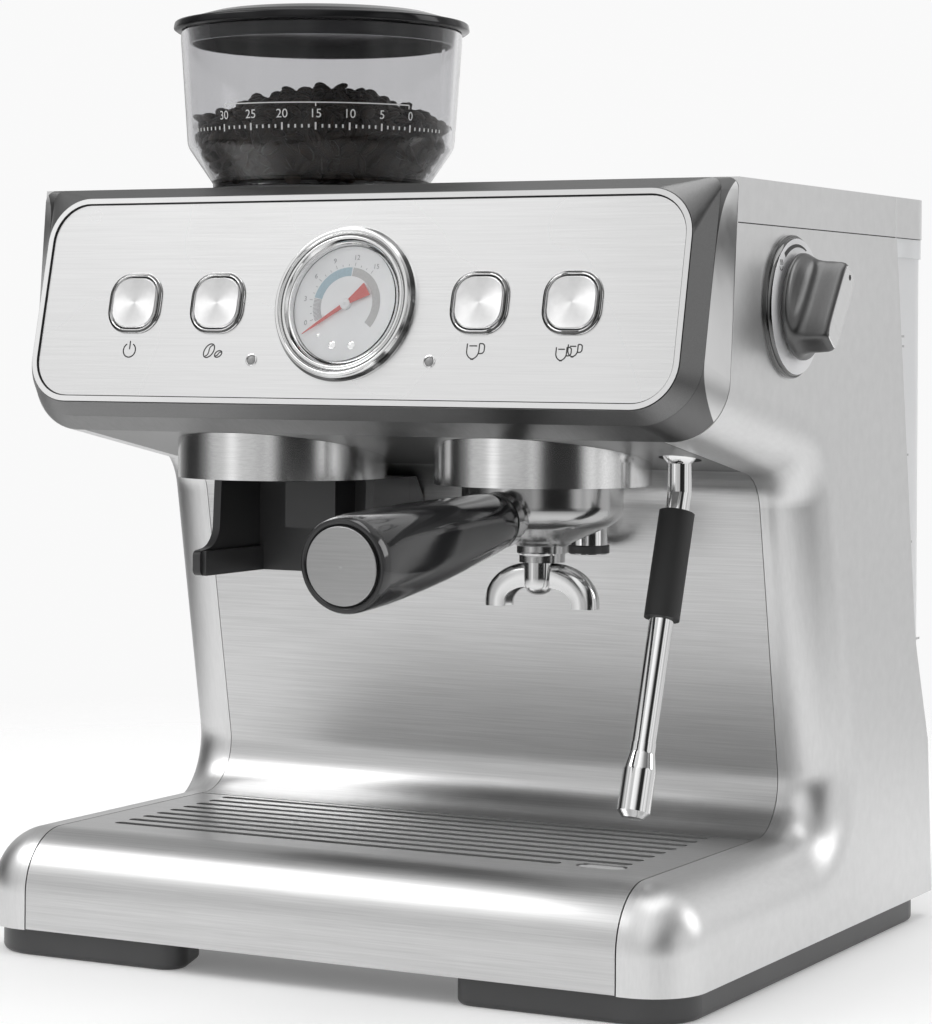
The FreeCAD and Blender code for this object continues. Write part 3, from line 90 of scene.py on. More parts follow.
class Nodes:
    """Helpers that add nodes to a tree and link them."""

    def __init__(self, tree):
        self.tree = tree

    def add(self, kind, inputs=None, **settings):
        """A new node with its settings and with the values of its unlinked inputs."""
        made = self.tree.nodes.new(kind)
        for label, value in settings.items():
            setattr(made, label, value)
        for label, value in (inputs or {}).items():
            made.inputs[label].default_value = value
        return made

    def link(self, source, target):
        self.tree.links.new(source, target)

    def spread(self, source, low, high, start=0.3, end=0.7, **settings):
        """Maps a value from the range start to end to the range low to high."""
        limits = {"From Min": start, "From Max": end, "To Min": low, "To Max": high}
        spread = self.add("ShaderNodeMapRange", limits, **settings)
        self.link(source, spread.inputs["Value"])
        return spread.outputs["Result"]

    def calculate(self, operation, source, other=None):
        """A math node's result; other is a socket or a number."""
        made = self.add("ShaderNodeMath", operation=operation)
        self.link(source, made.inputs[0])
        if isinstance(other, float):
            made.inputs[1].default_value = other
        elif other is not None:
            self.link(other, made.inputs[1])
        return made.outputs["Value"]


class Finish(Nodes):
    """A node material: a Principled shader with plain socket values and texture helpers."""

    def __init__(self, name, colour, roughness, metallic=0.0, **values):
        self.name = name
        self.material = bpy.data.materials.new(name)
        self.material.use_nodes = True
        super().__init__(self.material.node_tree)
        self.shader = self.tree.nodes["Principled BSDF"]
        self.place = None
        self.set("Base Color", (*colour, 1))
        self.set("Roughness", roughness)
        self.set("Metallic", metallic)
        for label, value in values.items():
            self.set(label.replace("_", " ").title().replace("Ior", "IOR"), value)

    def set(self, label, value):
        self.shader.inputs[label].default_value = value

    def noise(self, frequency, detail=3.0):
        """Noise in the piece's own coordinates; the frequency is one number or one per axis."""
        if self.place is None:
            self.place = self.add("ShaderNodeTexCoord").outputs["Object"]
        if isinstance(frequency, int):
            frequency = (frequency,) * 3
        scale = self.add("ShaderNodeMapping", {"Scale": frequency})
        self.link(self.place, scale.inputs["Vector"])
        field = self.add("ShaderNodeTexNoise",
                         {"Scale": 1.0, "Detail": detail, "Roughness": NOISE_ROUGHNESS})
        self.link(scale.outputs["Vector"], field.inputs["Vector"])
        return field.outputs["Fac"]

    def colours(self, source, first, second, start=0.3, end=0.7):
        """Colour that runs between two colours with a noise value."""
        ramp = self.add("ShaderNodeValToRGB")
        ramp.color_ramp.elements[0].position = start
        ramp.color_ramp.elements[0].color = (*first, 1)
        ramp.color_ramp.elements[1].position = end
        ramp.color_ramp.elements[1].color = (*second, 1)
        self.link(source, ramp.inputs["Fac"])
        self.link(ramp.outputs["Color"], self.shader.inputs["Base Color"])

    def rough(self, source, low, high):
        """Roughness that runs from low to high with a noise value."""
        self.link(self.spread(source, low, high), self.shader.inputs["Roughness"])

    def bump(self, source, depth):
        """Relief of a given depth, in metres."""
        relief = self.add("ShaderNodeBump", {"Distance": depth})
        self.link(source, relief.inputs["Height"])
        self.link(relief.outputs["Normal"], self.shader.inputs["Normal"])

    def spin(self):
        """Turned finish: the stretched highlights run round the piece's own Z axis."""
        tangent = self.add("ShaderNodeTangent", direction_type="RADIAL", axis="Z")
        self.link(tangent.outputs["Tangent"], self.shader.inputs["Tangent"])


GRAIN_X = (24, 1500, 1500)
GRAIN_Z = (1500, 1500, 24)
SATIN_GRAIN = (900, 160, 160)


def brushed(name, shade, roughness, grain, depth=0.012 * MM, contrast=0.05):
    """Brushed steel whose scratches run along the axis with the lowest frequency."""
    made = Finish(name, (shade,) * 3, roughness, 1.0)
    lines = made.noise(grain, detail=4.0)
    cloud = made.noise(9, detail=2.0)
    dark = (max(shade - contrast, 0),) * 3
    light = (min(shade + contrast, 1),) * 3
    made.colours(lines, dark, light)
    made.rough(cloud, roughness - 0.03, roughness + 0.04)
    made.bump(lines, depth)
    return made


def polished(name, shade, roughness=0.05):
    """Chrome or polished steel with faint smears."""
    made = Finish(name, (shade,) * 3, roughness, 1.0)
    cloud = made.noise(40, detail=4.0)
    made.rough(cloud, roughness, roughness + 0.05)
    made.colours(cloud, (shade * 0.96,) * 3, (shade,) * 3)
    return made


def plastic(name, colour, roughness, grain_depth, grain=1400, **values):
    """Moulded plastic or rubber with a fine grain."""
    made = Finish(name, colour, roughness, **values)
    pores = made.noise(grain, detail=2.0)
    cloud = made.noise(22)
    lighter = tuple(c * 1.25 + 0.004 for c in colour)
    made.colours(cloud, colour, lighter)
    made.rough(cloud, roughness - 0.04, roughness + 0.06)
    made.bump(pores, grain_depth)
    return made


def metallic_paint(name, shade, roughness):
    """Satin metallic paint with fine flakes."""
    made = Finish(name, (shade,) * 3, roughness, 0.85)
    flakes = made.noise(5000, detail=1.0)
    made.colours(flakes, (shade * 0.85,) * 3, (shade * 1.15,) * 3)
    cloud = made.noise(12, detail=2.0)
    made.rough(cloud, roughness - 0.02, roughness + 0.04)
    made.bump(flakes, 0.004 * MM)
    return made


def clear(name, colour, roughness, ior=1.49, level=0.5):
    """Clear plastic or glass, tinted by its colour."""
    made = Finish(name, colour, roughness, 0.0, transmission_weight=1.0, ior=ior,
                  specular_ior_level=level)
    cloud = made.noise(30)
    made.rough(cloud, roughness, roughness + 0.03)
    made.bump(made.noise(60, detail=1.0), 0.02 * MM)
    return made


def milky(name):
    """Frosted water tank wall."""
    made = Finish(name, (0.96, 0.96, 0.97), 0.35, 0.0, transmission_weight=0.15, ior=1.45)
    cloud = made.noise(14)
    made.colours(cloud, (0.95, 0.96, 0.97), (0.99, 0.99, 1.0))
    made.rough(cloud, 0.3, 0.42)
    made.bump(made.noise(700, detail=1.0), 0.01 * MM)
    return made


def printed(name, colour, roughness=0.5):
    """Ink of a printed mark, slightly uneven; the darkest one also serves as painted shade."""
    made = Finish(name, colour, roughness)
    cloud = made.noise(900, detail=2.0)
    made.colours(cloud, tuple(c * 0.9 for c in colour), colour)
    made.bump(cloud, 0.005 * MM)
    return made


FINISH = {finish.name: finish for finish in (
    brushed("brushed_shell", 0.63, 0.34, GRAIN_X),
    brushed("brushed_panel", 0.86, 0.27, GRAIN_X, contrast=0.03),
    polished("bright_chrome", 0.88),
    metallic_paint("dark_metal", 0.2, 0.32),
    plastic("black_plastic", (0.045, 0.045, 0.046), 0.38, 0.02 * MM),
    plastic("gloss_black", (0.01, 0.01, 0.011), 0.14, 0.002 * MM, 300, specular_ior_level=0.2),
    plastic("works_plastic", (0.16, 0.16, 0.165), 0.5, 0.02 * MM),
    plastic("rubber_black", (0.016, 0.016, 0.016), 0.6, 0.03 * MM, 1800),
    clear("smoked_clear", (0.7, 0.7, 0.71), 0.02, 1.3, 0.15),
    milky("milky_clear"),
    clear("clear_lens", (1.0, 1.0, 1.0), 0.0),
    plastic("dial_white", (0.86, 0.87, 0.88), 0.45, 0.003 * MM),
    plastic("needle_red", (0.62, 0.14, 0.13), 0.4, 0.003 * MM),
    plastic("lamp_grey", (0.32, 0.32, 0.32), 0.25, 0.003 * MM),
    brushed("burr_steel", 0.4, 0.35, GRAIN_Z),
    plastic("cast_alloy", (0.5, 0.5, 0.5), 0.45, 0.06 * MM, 500, metallic=1.0),
    brushed("steel_parts", 0.55, 0.32, GRAIN_Z),
    plastic("board_green", (0.03, 0.14, 0.06), 0.4, 0.01 * MM),
)}
# Nearly black: painted shade in the seams, screw crosses and air slots, and ink for the knob's dot.
PAINTED_SHADE_AND_INK = printed("painted_shade_and_ink", (0.012, 0.012, 0.012), 0.7)
INK_DARK = printed("ink_dark", (0.03, 0.03, 0.03))
INK_GREY = printed("ink_grey", (0.42, 0.42, 0.44))
INK_PALE = printed("ink_pale", (0.6, 0.6, 0.6))
INK_BLUE = printed("ink_blue", (0.45, 0.6, 0.68))
INK_WHITE = printed("ink_white", (0.75, 0.75, 0.75))
# Nearly black chrome, used as painted shade and painted dark reflection in grooves, flanks and
# rims.
PAINTED_SHADE_CHROME = polished("painted_shade_chrome", 0.16, 0.08)


def make_bean_finish():
    """Dark roasted coffee with an uneven sheen."""
    made = Finish("bean", (0.02, 0.012, 0.008), 0.4, specular_ior_level=0.2)
    cloud = made.noise(260)
    made.colours(cloud, (0.008, 0.005, 0.004), (0.03, 0.018, 0.011))
    made.rough(cloud, 0.34, 0.5)
    made.bump(made.noise(1500, detail=2.0), 0.05 * MM)
    return made


BEAN = make_bean_finish()


def make_spun_finish():
    """Metal spun on a lathe: its highlights fan out from the middle."""
    made = Finish("spun_cap", (0.86, 0.86, 0.86), 0.34, 1.0, anisotropic=0.65)
    made.spin()
    grooves = made.noise(300, detail=1.0)
    made.colours(grooves, (0.84,) * 3, (0.9,) * 3)
    made.rough(grooves, 0.33, 0.37)
    return made


SPUN_CAP = make_spun_finish()


COLLAR_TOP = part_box("head_collar")[1].z
COLLAR_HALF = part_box("head_collar")[1].x
COLLAR_BAND = COLLAR_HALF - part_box("bezel")[1].x
FLARE_DROP = 7.5 * MM


def make_collar_finish():
    """Satin steel; at the top corners the bezel's dark paint flares out over it."""
    shade, paint_shade = 0.74, 0.17
    made = Finish("collar", (shade,) * 3, 0.34, 1.0)
    grain = made.noise(SATIN_GRAIN)
    made.rough(grain, 0.32, 0.38)
    made.bump(grain, 0.006 * MM)
    split = made.add("ShaderNodeSeparateXYZ")
    made.link(made.place, split.inputs["Vector"])
    side = made.calculate("ABSOLUTE", split.outputs["X"])
    share = made.spread(side, 0, 1, COLLAR_HALF, COLLAR_HALF - COLLAR_BAND, clamp=False)
    drop = made.spread(split.outputs["Z"], 0, -1, COLLAR_TOP, COLLAR_TOP - FLARE_DROP, clamp=False)
    curve = made.calculate("EXPONENT", drop)
    both = made.calculate("ADD", share, curve)
    made.colours(both, (shade,) * 3, (paint_shade,) * 3, 0.99, 1.01)
    return made


BRIGHT_STEEL = brushed("bright_steel", 0.84, 0.19, GRAIN_X, 0.005 * MM, 0.04)
END_STEEL = brushed("end_steel", 0.4, 0.36, GRAIN_X, 0.006 * MM, 0.025)
CUP_STEEL = polished("cup_steel", 0.5, 0.16)
TANK_WHITE = plastic("tank_white", (0.75, 0.76, 0.77), 0.35, 0.004 * MM)
# Pale, half-metallic plate face: a painted bright reflection.
PLATE_PAINTED_BRIGHT = plastic("plate_painted_reflection", (0.78, 0.78, 0.79), 0.35, 0.003 * MM, metallic=0.3)
SPOUT_STEEL = polished("spout_steel", 0.74, 0.13)
HANDLE_GLOSS = plastic("handle_gloss", (0.012, 0.012, 0.013), 0.08, 0.002 * MM, 300, ior=1.6)
# Dark knob metal: painted shade for the knob's dark reflections and the shadow at its neck.
KNOB_PAINTED_SHADE_METAL = metallic_paint("knob_metal_painted_shade", 0.13, 0.3)
SATIN_SHELL = brushed("satin_shell", 0.74, 0.36, SATIN_GRAIN, 0.006 * MM, 0.02)
NODE_FINISH = {
    "left_side_shell": SATIN_SHELL,
    "right_side_shell": SATIN_SHELL,
    "top_cover": SATIN_SHELL,
    "tank_lid": SATIN_SHELL,
    "head_collar": make_collar_finish(),
    "grinder_ring": BRIGHT_STEEL,
    "group_ring": BRIGHT_STEEL,
    "handle_cap": END_STEEL,
    "portafilter_body": CUP_STEEL,
}


def paint(obj, finish):
    """Gives a whole object one finish."""
    obj.data.materials.clear()
    obj.data.materials.append(finish.material)


def paint_nodes():
    """Gives every CAD node its own finish, or that of its slot in the record."""
    slots = {part["node"]: part["material_slot"] for part in frame["record"]["subparts"]}
    for name, obj in NODES.items():
        paint(obj, NODE_FINISH.get(name, FINISH[slots[name]]))


# ---- mesh tools


def rounded(corners, steps=6):
    """Outline through (x, y, radius) corners; those with a radius become arcs."""
    outline = []
    count = len(corners)
    for index, (x, y, radius) in enumerate(corners):
        here = Vector((x, y))
        if radius == 0:
            outline.append(here)
            continue
        before = Vector(corners[index - 1][:2])
        after = Vector(corners[(index + 1) % count][:2])
        back = (before - here).normalized()
        on = (after - here).normalized()
        half = math.acos(max(-1, min(1, back.dot(on)))) / 2
        centre = here + (back + on).normalized() * radius / math.sin(half)
        start = here + back * radius / math.tan(half) - centre
        finish = here + on * radius / math.tan(half) - centre
        turn = start.angle_signed(finish)
        for step in range(steps + 1):
            outline.append(centre + Matrix.Rotation(-turn * step / steps, 2) @ start)
    return outline


def add_object(name, data):
    """A new object in the scene round its mesh, light, camera or text."""
    obj = bpy.data.objects.new(name, data)
    bpy.context.scene.collection.objects.link(obj)
    return obj


def new_piece(name, part, body, slot, place=None, finish=None, sharp=35):
    """A smooth-shaded mesh object on a body; its slot gives its finish when none is named."""
    mesh = bpy.data.meshes.new(name)
    points, faces = part
    mesh.from_pydata(points, [], faces)
    shape = bmesh.new()
    shape.from_mesh(mesh)
    bmesh.ops.remove_doubles(shape, verts=shape.verts, dist=0.0005 * MM)
    bmesh.ops.recalc_face_normals(shape, faces=shape.faces)
    shape.to_mesh(mesh)
    shape.free()
    mesh.shade_smooth()
    mesh.set_sharp_from_angle(angle=math.radians(sharp))
    obj = add_object(name, mesh)
    if place is not None:
        obj.matrix_world = place
    paint(obj, finish or FINISH[slot])
    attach(obj, body)
    return obj


def second_finish(obj, finish, wanted):
    """Gives another finish to the faces whose centre the test accepts."""
    obj.data.materials.append(finish.material)
    for face in obj.data.polygons:
        if wanted(face.center):
            face.material_index = 1


def rings_to_mesh(rings, caps=True):
    """Points and faces of a skin through closed rings that have the same number of points."""
    points = [p for ring in rings for p in ring]
    size = len(rings[0])
    faces = []
    for index in range(len(rings) - 1):
        for step in range(size):
            here = index * size + step
            beside = index * size + (step + 1) % size
            faces.append((here, beside, beside + size, here + size))
    if caps:
        faces.append(tuple(range(size)))
        faces.append(tuple(range(len(points) - size, len(points))))
    return points, faces


NARROWEST = 0.002


def turned(profile, steps=96, caps=True):
    """Skin of a turned piece: (radius, height) points in millimetres go round the Z axis."""
    rings = []
    for radius, height in profile:
        rings.append([turned_point(max(radius, NARROWEST) * MM, 360 * step / steps, height * MM)
                      for step in range(steps)])
    return rings_to_mesh(rings, caps=caps)


def turned_loop(profile, steps=96):
    """A turned ring: its profile is a closed outline, in millimetres."""
    return turned(list(profile) + [profile[0]], steps, caps=False)


def rounded_square(half, radius, height, steps=8):
    """Outline of a square with round corners, at a height."""
    corners = [(-half, -half, radius), (half, -half, radius), (half, half, radius),
               (-half, half, radius)]
    return [Vector((p.x, p.y, height)) for p in rounded(corners, steps)]


PRINT_THICK = 0.05 * MM


def ribbon(path, width, lift, thick=PRINT_THICK, closed=False):
    """A thin printed line along a flat path, as a closed strip."""
    count = len(path)
    rings = []
    for index, point in enumerate(path):
        before = path[(index - 1) % count] if closed or index else point
        after = path[(index + 1) % count] if closed or index < count - 1 else point
        along = (Vector(after) - Vector(before)).normalized()
        side = Vector((-along.y, along.x)) * width / 2
        left, right = Vector(point) - side, Vector(point) + side
        rings.append([Vector((*left, lift)), Vector((*right, lift)),
                      Vector((*right, lift + thick)), Vector((*left, lift + thick))])
    if closed:
        return rings_to_mesh(rings + [rings[0]], caps=False)
    return rings_to_mesh(rings)


def arc_path(radius, start, end, centre=(0, 0), steps=24, squeeze=1.0):
    """Points of an arc or, squeezed across, of a part of an ellipse."""
    path = []
    for step in range(steps + 1):
        turn = math.radians(start + (end - start) * step / steps)
        path.append((centre[0] + squeeze * radius * math.cos(turn),
                     centre[1] + radius * math.sin(turn)))
    return path


def circle_path(radius, steps=36, squeeze=1.0):
    """Points of a circle or an ellipse round the origin."""
    return arc_path(radius, 0, 360, steps=steps, squeeze=squeeze)[:-1]


def tilted_path(path, angle, centre=(0, 0)):
    """Turns a flat path by an angle, in degrees, and moves it to a centre."""
    swing = Matrix.Rotation(math.radians(angle), 2)
    return [swing @ Vector(point) + Vector(centre) for point in path]


def joined(parts):
    """One point and face list out of several."""
    points = []
    faces = []
    for some_points, some_faces in parts:
        shift = len(points)
        points += some_points
        faces += [tuple(shift + corner for corner in face) for face in some_faces]
    return points, faces


def digits(text, size):
    """Points and faces of a printed number, centred on its own origin."""
    curve = bpy.data.curves.new("digits", "FONT")
    curve.body = text
    curve.size = size
    curve.align_x = "CENTER"
    curve.align_y = "CENTER"
    curve.extrude = 0.02 * MM
    carrier = add_object("digits", curve)
    bpy.context.view_layer.update()
    mesh = bpy.data.meshes.new_from_object(carrier)
    points = [vertex.co.copy() for vertex in mesh.vertices]
    faces = [tuple(polygon.vertices) for polygon in mesh.polygons]
    bpy.data.objects.remove(carrier)
    bpy.data.curves.remove(curve)
    bpy.data.meshes.remove(mesh)
    return points, faces


def moved(part, place):
    """Points and faces taken to another place."""
    points, faces = part
    return [place @ Vector(point) for point in points], faces


# ---- buttons and lamps

PRINT_LIFT = 0.02 * MM
SIGN_UP = -22.5 * MM
CAP_HALF = 11.0 * MM
CAP_ROUND = 8.0 * MM
RING_HALF = 13.4 * MM
RING_ROUND = 10.5 * MM
BUTTON_UP = -1.7 * MM
OUTER_BUTTON = 105
INNER_BUTTON = 63
BUTTONS = {"power_button": -OUTER_BUTTON, "grind_button": -INNER_BUTTON,
           "one_cup_button": INNER_BUTTON, "two_cup_button": OUTER_BUTTON}


def make_button_caps():
    """Spun metal caps with a shallow dish."""
    levels = [(1.0, -9.0), (1.0, 0.9), (0.985, 1.3), (0.95, 1.55), (0.9, 1.5), (0.7, 1.35),
              (0.45, 1.22), (0.2, 1.14), (0.02, 1.1)]
    for name, across in BUTTONS.items():
        rings = []
        for share, height in levels:
            rings.append([Vector((share * p.x, share * p.y, height * MM))
                          for p in rounded_square(CAP_HALF, CAP_ROUND, 0)])
        cap = new_piece(name + "_cap", rings_to_mesh(rings), name, "brushed_panel",
                        on_panel(across * MM, BUTTON_UP), SPUN_CAP)
        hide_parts(name)


def in_button_groove(spot):
    """The groove outside a ring's crown and the slope inside it lie in shadow; they get painted
    shade.
    """
    return 1.05 * MM < spot.z < 1.28 * MM or spot.z < 0.95 * MM and not 0 < spot.z < 0.7 * MM


def make_button_rings():
    """Chrome rings round the buttons, with a bright rounded crown."""
    levels = [(0, -1.2), (0, 0.4), (0.2, 0.8), (0.5, 1.05), (0.9, 1.1), (1.15, 1.3),
              (1.4, 1.5), (1.65, 1.3), (1.85, 0.6), (2.1, -0.2), (2.1, -9.5), (0.6, -9.5),
              (0.6, -1.2)]
    parts = []
    for across in BUTTONS.values():
        rings = []
        for inset, height in levels + levels[:1]:
            rings.append(rounded_square(RING_HALF - inset * MM, RING_ROUND - inset * MM,
                                        height * MM))
        parts.append(moved(rings_to_mesh(rings, caps=False),
                           Matrix.Translation((across * MM, BUTTON_UP, 0))))
    rings = new_piece("button_rings", joined(parts), "housing", "bright_chrome", on_panel(0, 0))
    # Painted shade in the groove and on the inner slope.
    second_finish(rings, PAINTED_SHADE_CHROME, in_button_groove)
    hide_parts("button_surrounds")


SIGN_LINE = 0.5 * MM


def power_sign():
    """An open ring with an upright line."""
    line = 0.55 * MM
    return [ribbon(arc_path(3.1 * MM, 120, 420), line, PRINT_LIFT),
            ribbon([(0, 0.4 * MM), (0, 4.1 * MM)], line, PRINT_LIFT)]


def bean_sign(size, tilt, centre):
    """A tilted coffee bean with its crease."""
    rim = tilted_path(circle_path(size, squeeze=0.66), tilt, centre)
    crease = [(0.16 * size * math.sin(math.pi * s / 6), size * (s / 6 - 1) * 0.9)
              for s in range(13)]
    return [ribbon(rim, SIGN_LINE, PRINT_LIFT, closed=True),
            ribbon(tilted_path(crease, tilt, centre), 0.45 * MM, PRINT_LIFT)]


def cup_sign(centre, size):
    """An open cup with a line for its level and a round handle."""
    left, low = centre[0] - size, centre[1] - size
    right, high = left + 1.75 * size, low + 2.05 * size
    cup = rounded([(left, high, 0), (left, low, 1.1 * size), (right, low, 1.1 * size),
                   (right, high, 0)], 8)
    level = [(left + 0.32 * size, high - 0.3 * size), (right - 0.32 * size, high - 0.3 * size)]
    grip = rounded([(right, high, 0), (right + 0.75 * size, high, 0.4 * size),
                    (right + 0.75 * size, high - 1.3 * size, 0.45 * size),
                    (right, high - 1.3 * size, 0)])
    return [ribbon(path, SIGN_LINE, PRINT_LIFT) for path in (cup, level, grip)]


def make_panel_print():
    """Signs under the buttons; the words of the original are left out."""
    large_bean = bean_sign(3.3 * MM, -35, (-1.4 * MM, 0))
    small_bean = bean_sign(1.9 * MM, -60, (3.4 * MM, -1.4 * MM))
    front_cup = cup_sign((-2.4 * MM, -0.4 * MM), 2.7 * MM)
    rear_cup = cup_sign((2.6 * MM, 1.0 * MM), 2.5 * MM)
    signs = {
        -OUTER_BUTTON: power_sign(),
        -INNER_BUTTON: large_bean + small_bean,
        INNER_BUTTON: cup_sign((-0.4 * MM, 0.4 * MM), 3.2 * MM),
        OUTER_BUTTON: front_cup + rear_cup,
    }
    parts = []
    for across, sign in signs.items():
        place = Matrix.Translation((across * MM, SIGN_UP, 0))
        parts += [moved(part, place) for part in sign]
    new_piece("panel_print", joined(parts), "housing", "black_plastic", on_panel(0, 0), INK_DARK)


SEAM = 0.45 * MM
SEAM_DEEP = 0.3 * MM
SEAM_PROUD = 0.03 * MM


def seam_strip(path, out, along):
    """A strip of painted shade along a seam in space; out and along give its two directions."""
    corners = [-along * SEAM / 2 - out * SEAM_DEEP, -along * SEAM / 2 + out * SEAM_PROUD,
               along * SEAM / 2 + out * SEAM_PROUD, along * SEAM / 2 - out * SEAM_DEEP]
    return rings_to_mesh([[Vector(point) + corner for corner in corners] for point in path])


def make_seams():
    """Painted shade: nearly black strips in the gaps round the front panel and under the top cover.
    """
    half = PANEL_HIGH.x
    corner = 17 * MM
    outline = [(-half, -PANEL_HALF_HEIGHT, corner), (half, -PANEL_HALF_HEIGHT, corner),
               (half, PANEL_HALF_HEIGHT, corner), (-half, PANEL_HALF_HEIGHT, corner)]
    gap = ribbon(rounded(outline, 12), 0.55 * MM, PRINT_LIFT, closed=True)
    new_piece("panel_gap_painted_shade", gap, "housing", "black_plastic", on_panel(0, 0), PAINTED_SHADE_AND_INK)
    cover_low, cover_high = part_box("top_cover")
    parts = []
    for side in (-1, 1):
        path = [(side * cover_high.x, y, cover_low.z)
                for y in (cover_low.y + 1 * MM, 0, cover_high.y)]
        parts.append(seam_strip(path, Vector((side, 0, 0)), Vector((0, 0, 1))))
    new_piece("cover_gap_painted_shade", joined(parts), "housing", "black_plastic", finish=PAINTED_SHADE_AND_INK)


def make_tank_rim():
    """White lip of the tank, just under its lid."""
    low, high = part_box("tank_lid")
    front, rear, half = low.y + 3 * MM, high.y - 1 * MM, high.x - 0.7 * MM
    corner, wall, deep = 23 * MM, 1.6 * MM, 8.6 * MM
    top = low.z - 0.35 * MM

    def outline(inset, height):
        side, back, curve = half - inset, rear - inset, corner - inset
        plan = [(-side, front, 0), (side, front, 0), (side, back, curve), (-side, back, curve)]
        return [Vector((p.x, p.y, height)) for p in rounded(plan, 10)]

    rings = [outline(wall, top - deep), outline(0, top - deep), outline(0, top),
             outline(wall, top), outline(wall, top - deep)]
    new_piece("tank_rim", rings_to_mesh(rings, caps=False), "water_tank", "milky_clear",
              finish=TANK_WHITE)


def make_tank_marks():
    """Level marks down both sides of the tank; its words are left out."""
    thick, half_wide, long = 0.03 * MM, 0.5 * MM, 6 * MM
    section = [Vector((shift, 0, rise)) for shift, rise in
               ((-thick, -half_wide), (thick, -half_wide), (thick, half_wide), (-thick, half_wide))]
    parts = []
    for side in (-1, 1):
        out = side * (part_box("water_tank")[1].x + thick)
        for level, depth in ((269, 99.5), (264.5, 99.5), (215, 106), (175, 111.5), (130, 122.5)):
            near_end = Vector((out, depth * MM, level * MM))
            far_end = near_end + Vector((0, long, 0))
            parts.append(rings_to_mesh([[end + corner for corner in section]
                                        for end in (near_end, far_end)]))
    new_piece("tank_marks", joined(parts), "water_tank", "milky_clear", finish=INK_PALE)


def on_back(x, z):
    """Placement on the back face of the rear panel, in millimetres; its Z axis is to the rear."""
    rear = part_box("rear_panel")[1].y
    return Matrix.Translation((x * MM, rear, z * MM)) @ Matrix.Rotation(-math.pi / 2, 4, "X")


def make_back_details():
    """Cross-head screws and air slots in the rear sheet; the screws' crosses and the slots are flat
    strips of painted shade.
    """
    head = turned([(0, -0.2), (3.1, -0.2), (3.1, 0.5), (2.7, 1.0), (1.9, 1.25), (0, 1.3)], 32)
    arm = ribbon([(-1.5 * MM, 0), (1.5 * MM, 0)], 0.55 * MM, 1.28 * MM, 0.06 * MM)
    slot = ribbon([(-6 * MM, 0), (6 * MM, 0)], 2.2 * MM, PRINT_LIFT)
    screws = []
    slots = []
    for x in (-130, -45, 45, 130):
        for z in (21, 77):
            place = on_back(x, z)
            screws.append(moved(head, place))
            for turn in (0.5, 0.5 + math.pi / 2):
                slots.append(moved(arm, place @ Matrix.Rotation(turn, 4, "Z")))
    new_piece("rear_screws", joined(screws), "housing", "steel_parts")
    for row in range(4):
        for column in range(9):
            slots.append(moved(slot, on_back(-32 + 16 * column, 34 + 8.5 * row)))
    new_piece("rear_slots_painted_shade", joined(slots), "housing", "black_plastic", finish=PAINTED_SHADE_AND_INK)


LAMP_UP = -26.4 * MM
LAMP_OUT = 42.7 * MM


def make_lamps():
    """Indicator lamps: a domed lens in a thin chrome eyelet."""
    lens = [(0.0, 0.75), (0.9, 0.65), (1.6, 0.4), (2.0, 0.0), (2.0, -2.0), (0, -2.0)]
    eyelet = [(2.05, -0.5), (2.05, 0.3), (2.3, 0.45), (2.6, 0.35), (2.75, 0.02), (2.75, -0.5)]
    for side, name in ((-1, "lamp_left"), (1, "lamp_right")):
        place = on_panel(side * LAMP_OUT, LAMP_UP)
        dome = new_piece(name, turned(lens, 48), "housing", "lamp_grey", place)
        new_piece(name + "_eyelet", turned_loop(eyelet, 48), "housing", "bright_chrome", place)
    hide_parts("indicator_lenses")


# ---- pressure gauge

GAUGE_UP = -2.2 * MM
DIAL_OUT = -0.96 * MM
BAND_IN = 12.3 * MM
BAND_OUT = 16.0 * MM
TICK_IN = 16.6
NUMBER_RADIUS = 20.3 * MM
BAR_ZERO = 203
BAR_STEP = 10
BAR_TOP = 15
BARS_PER_NUMBER = 3


def bar_angle(bar):
    """Direction, in degrees, of a pressure on the dial."""
    return BAR_ZERO - BAR_STEP * bar


def in_dark_groove(spot):
    """Parts of the gauge's ring that lie in shadow and get painted shade: its flank, its groove,
    its funnel's foot.
    """
    radius = math.hypot(spot.x, spot.y) / MM
    return 32.3 < radius < 33.2 or 28.95 < radius < 29.6 or 25.45 < radius < 25.9


def make_gauge_ring():
    """Chrome bezel of the gauge, with two ridges and a funnel down to the dial."""
    profile = [
        (33.4, -1.5, 0), (33.4, 0.9, 0.5), (32.2, 3.0, 0.8), (31.6, 4.7, 0.5),
        (30.2, 4.75, 0.6), (29.7, 3.2, 0.3), (28.9, 3.1, 0.3), (28.5, 4.0, 0.4),
        (27.4, 4.0, 0.5), (26.5, 2.2, 0.5), (25.4, 1.8, 0.2), (25.3, -0.9, 0),
        (25.3, -30, 0), (27.9, -30, 0), (27.9, -1.5, 0),
    ]
    ring = new_piece("gauge_ring", turned_loop(rounded(profile, 5), 160), "housing",
                     "bright_chrome", on_panel(0, GAUGE_UP))
    # Painted shade on the flank, the groove and the funnel's foot.
    second_finish(ring, PAINTED_SHADE_CHROME, in_dark_groove)
    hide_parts("gauge_case")


def dial_band(start, end):
    """A printed arc band between two directions, in degrees."""
    return ribbon(arc_path((BAND_IN + BAND_OUT) / 2, start, end, steps=40), BAND_OUT - BAND_IN,
                  PRINT_LIFT)


def ray(near, far, angle, width):
    """A printed line that points away from the dial's middle."""
    return ribbon(tilted_path([(near, 0), (far, 0)], angle), width, PRINT_LIFT)


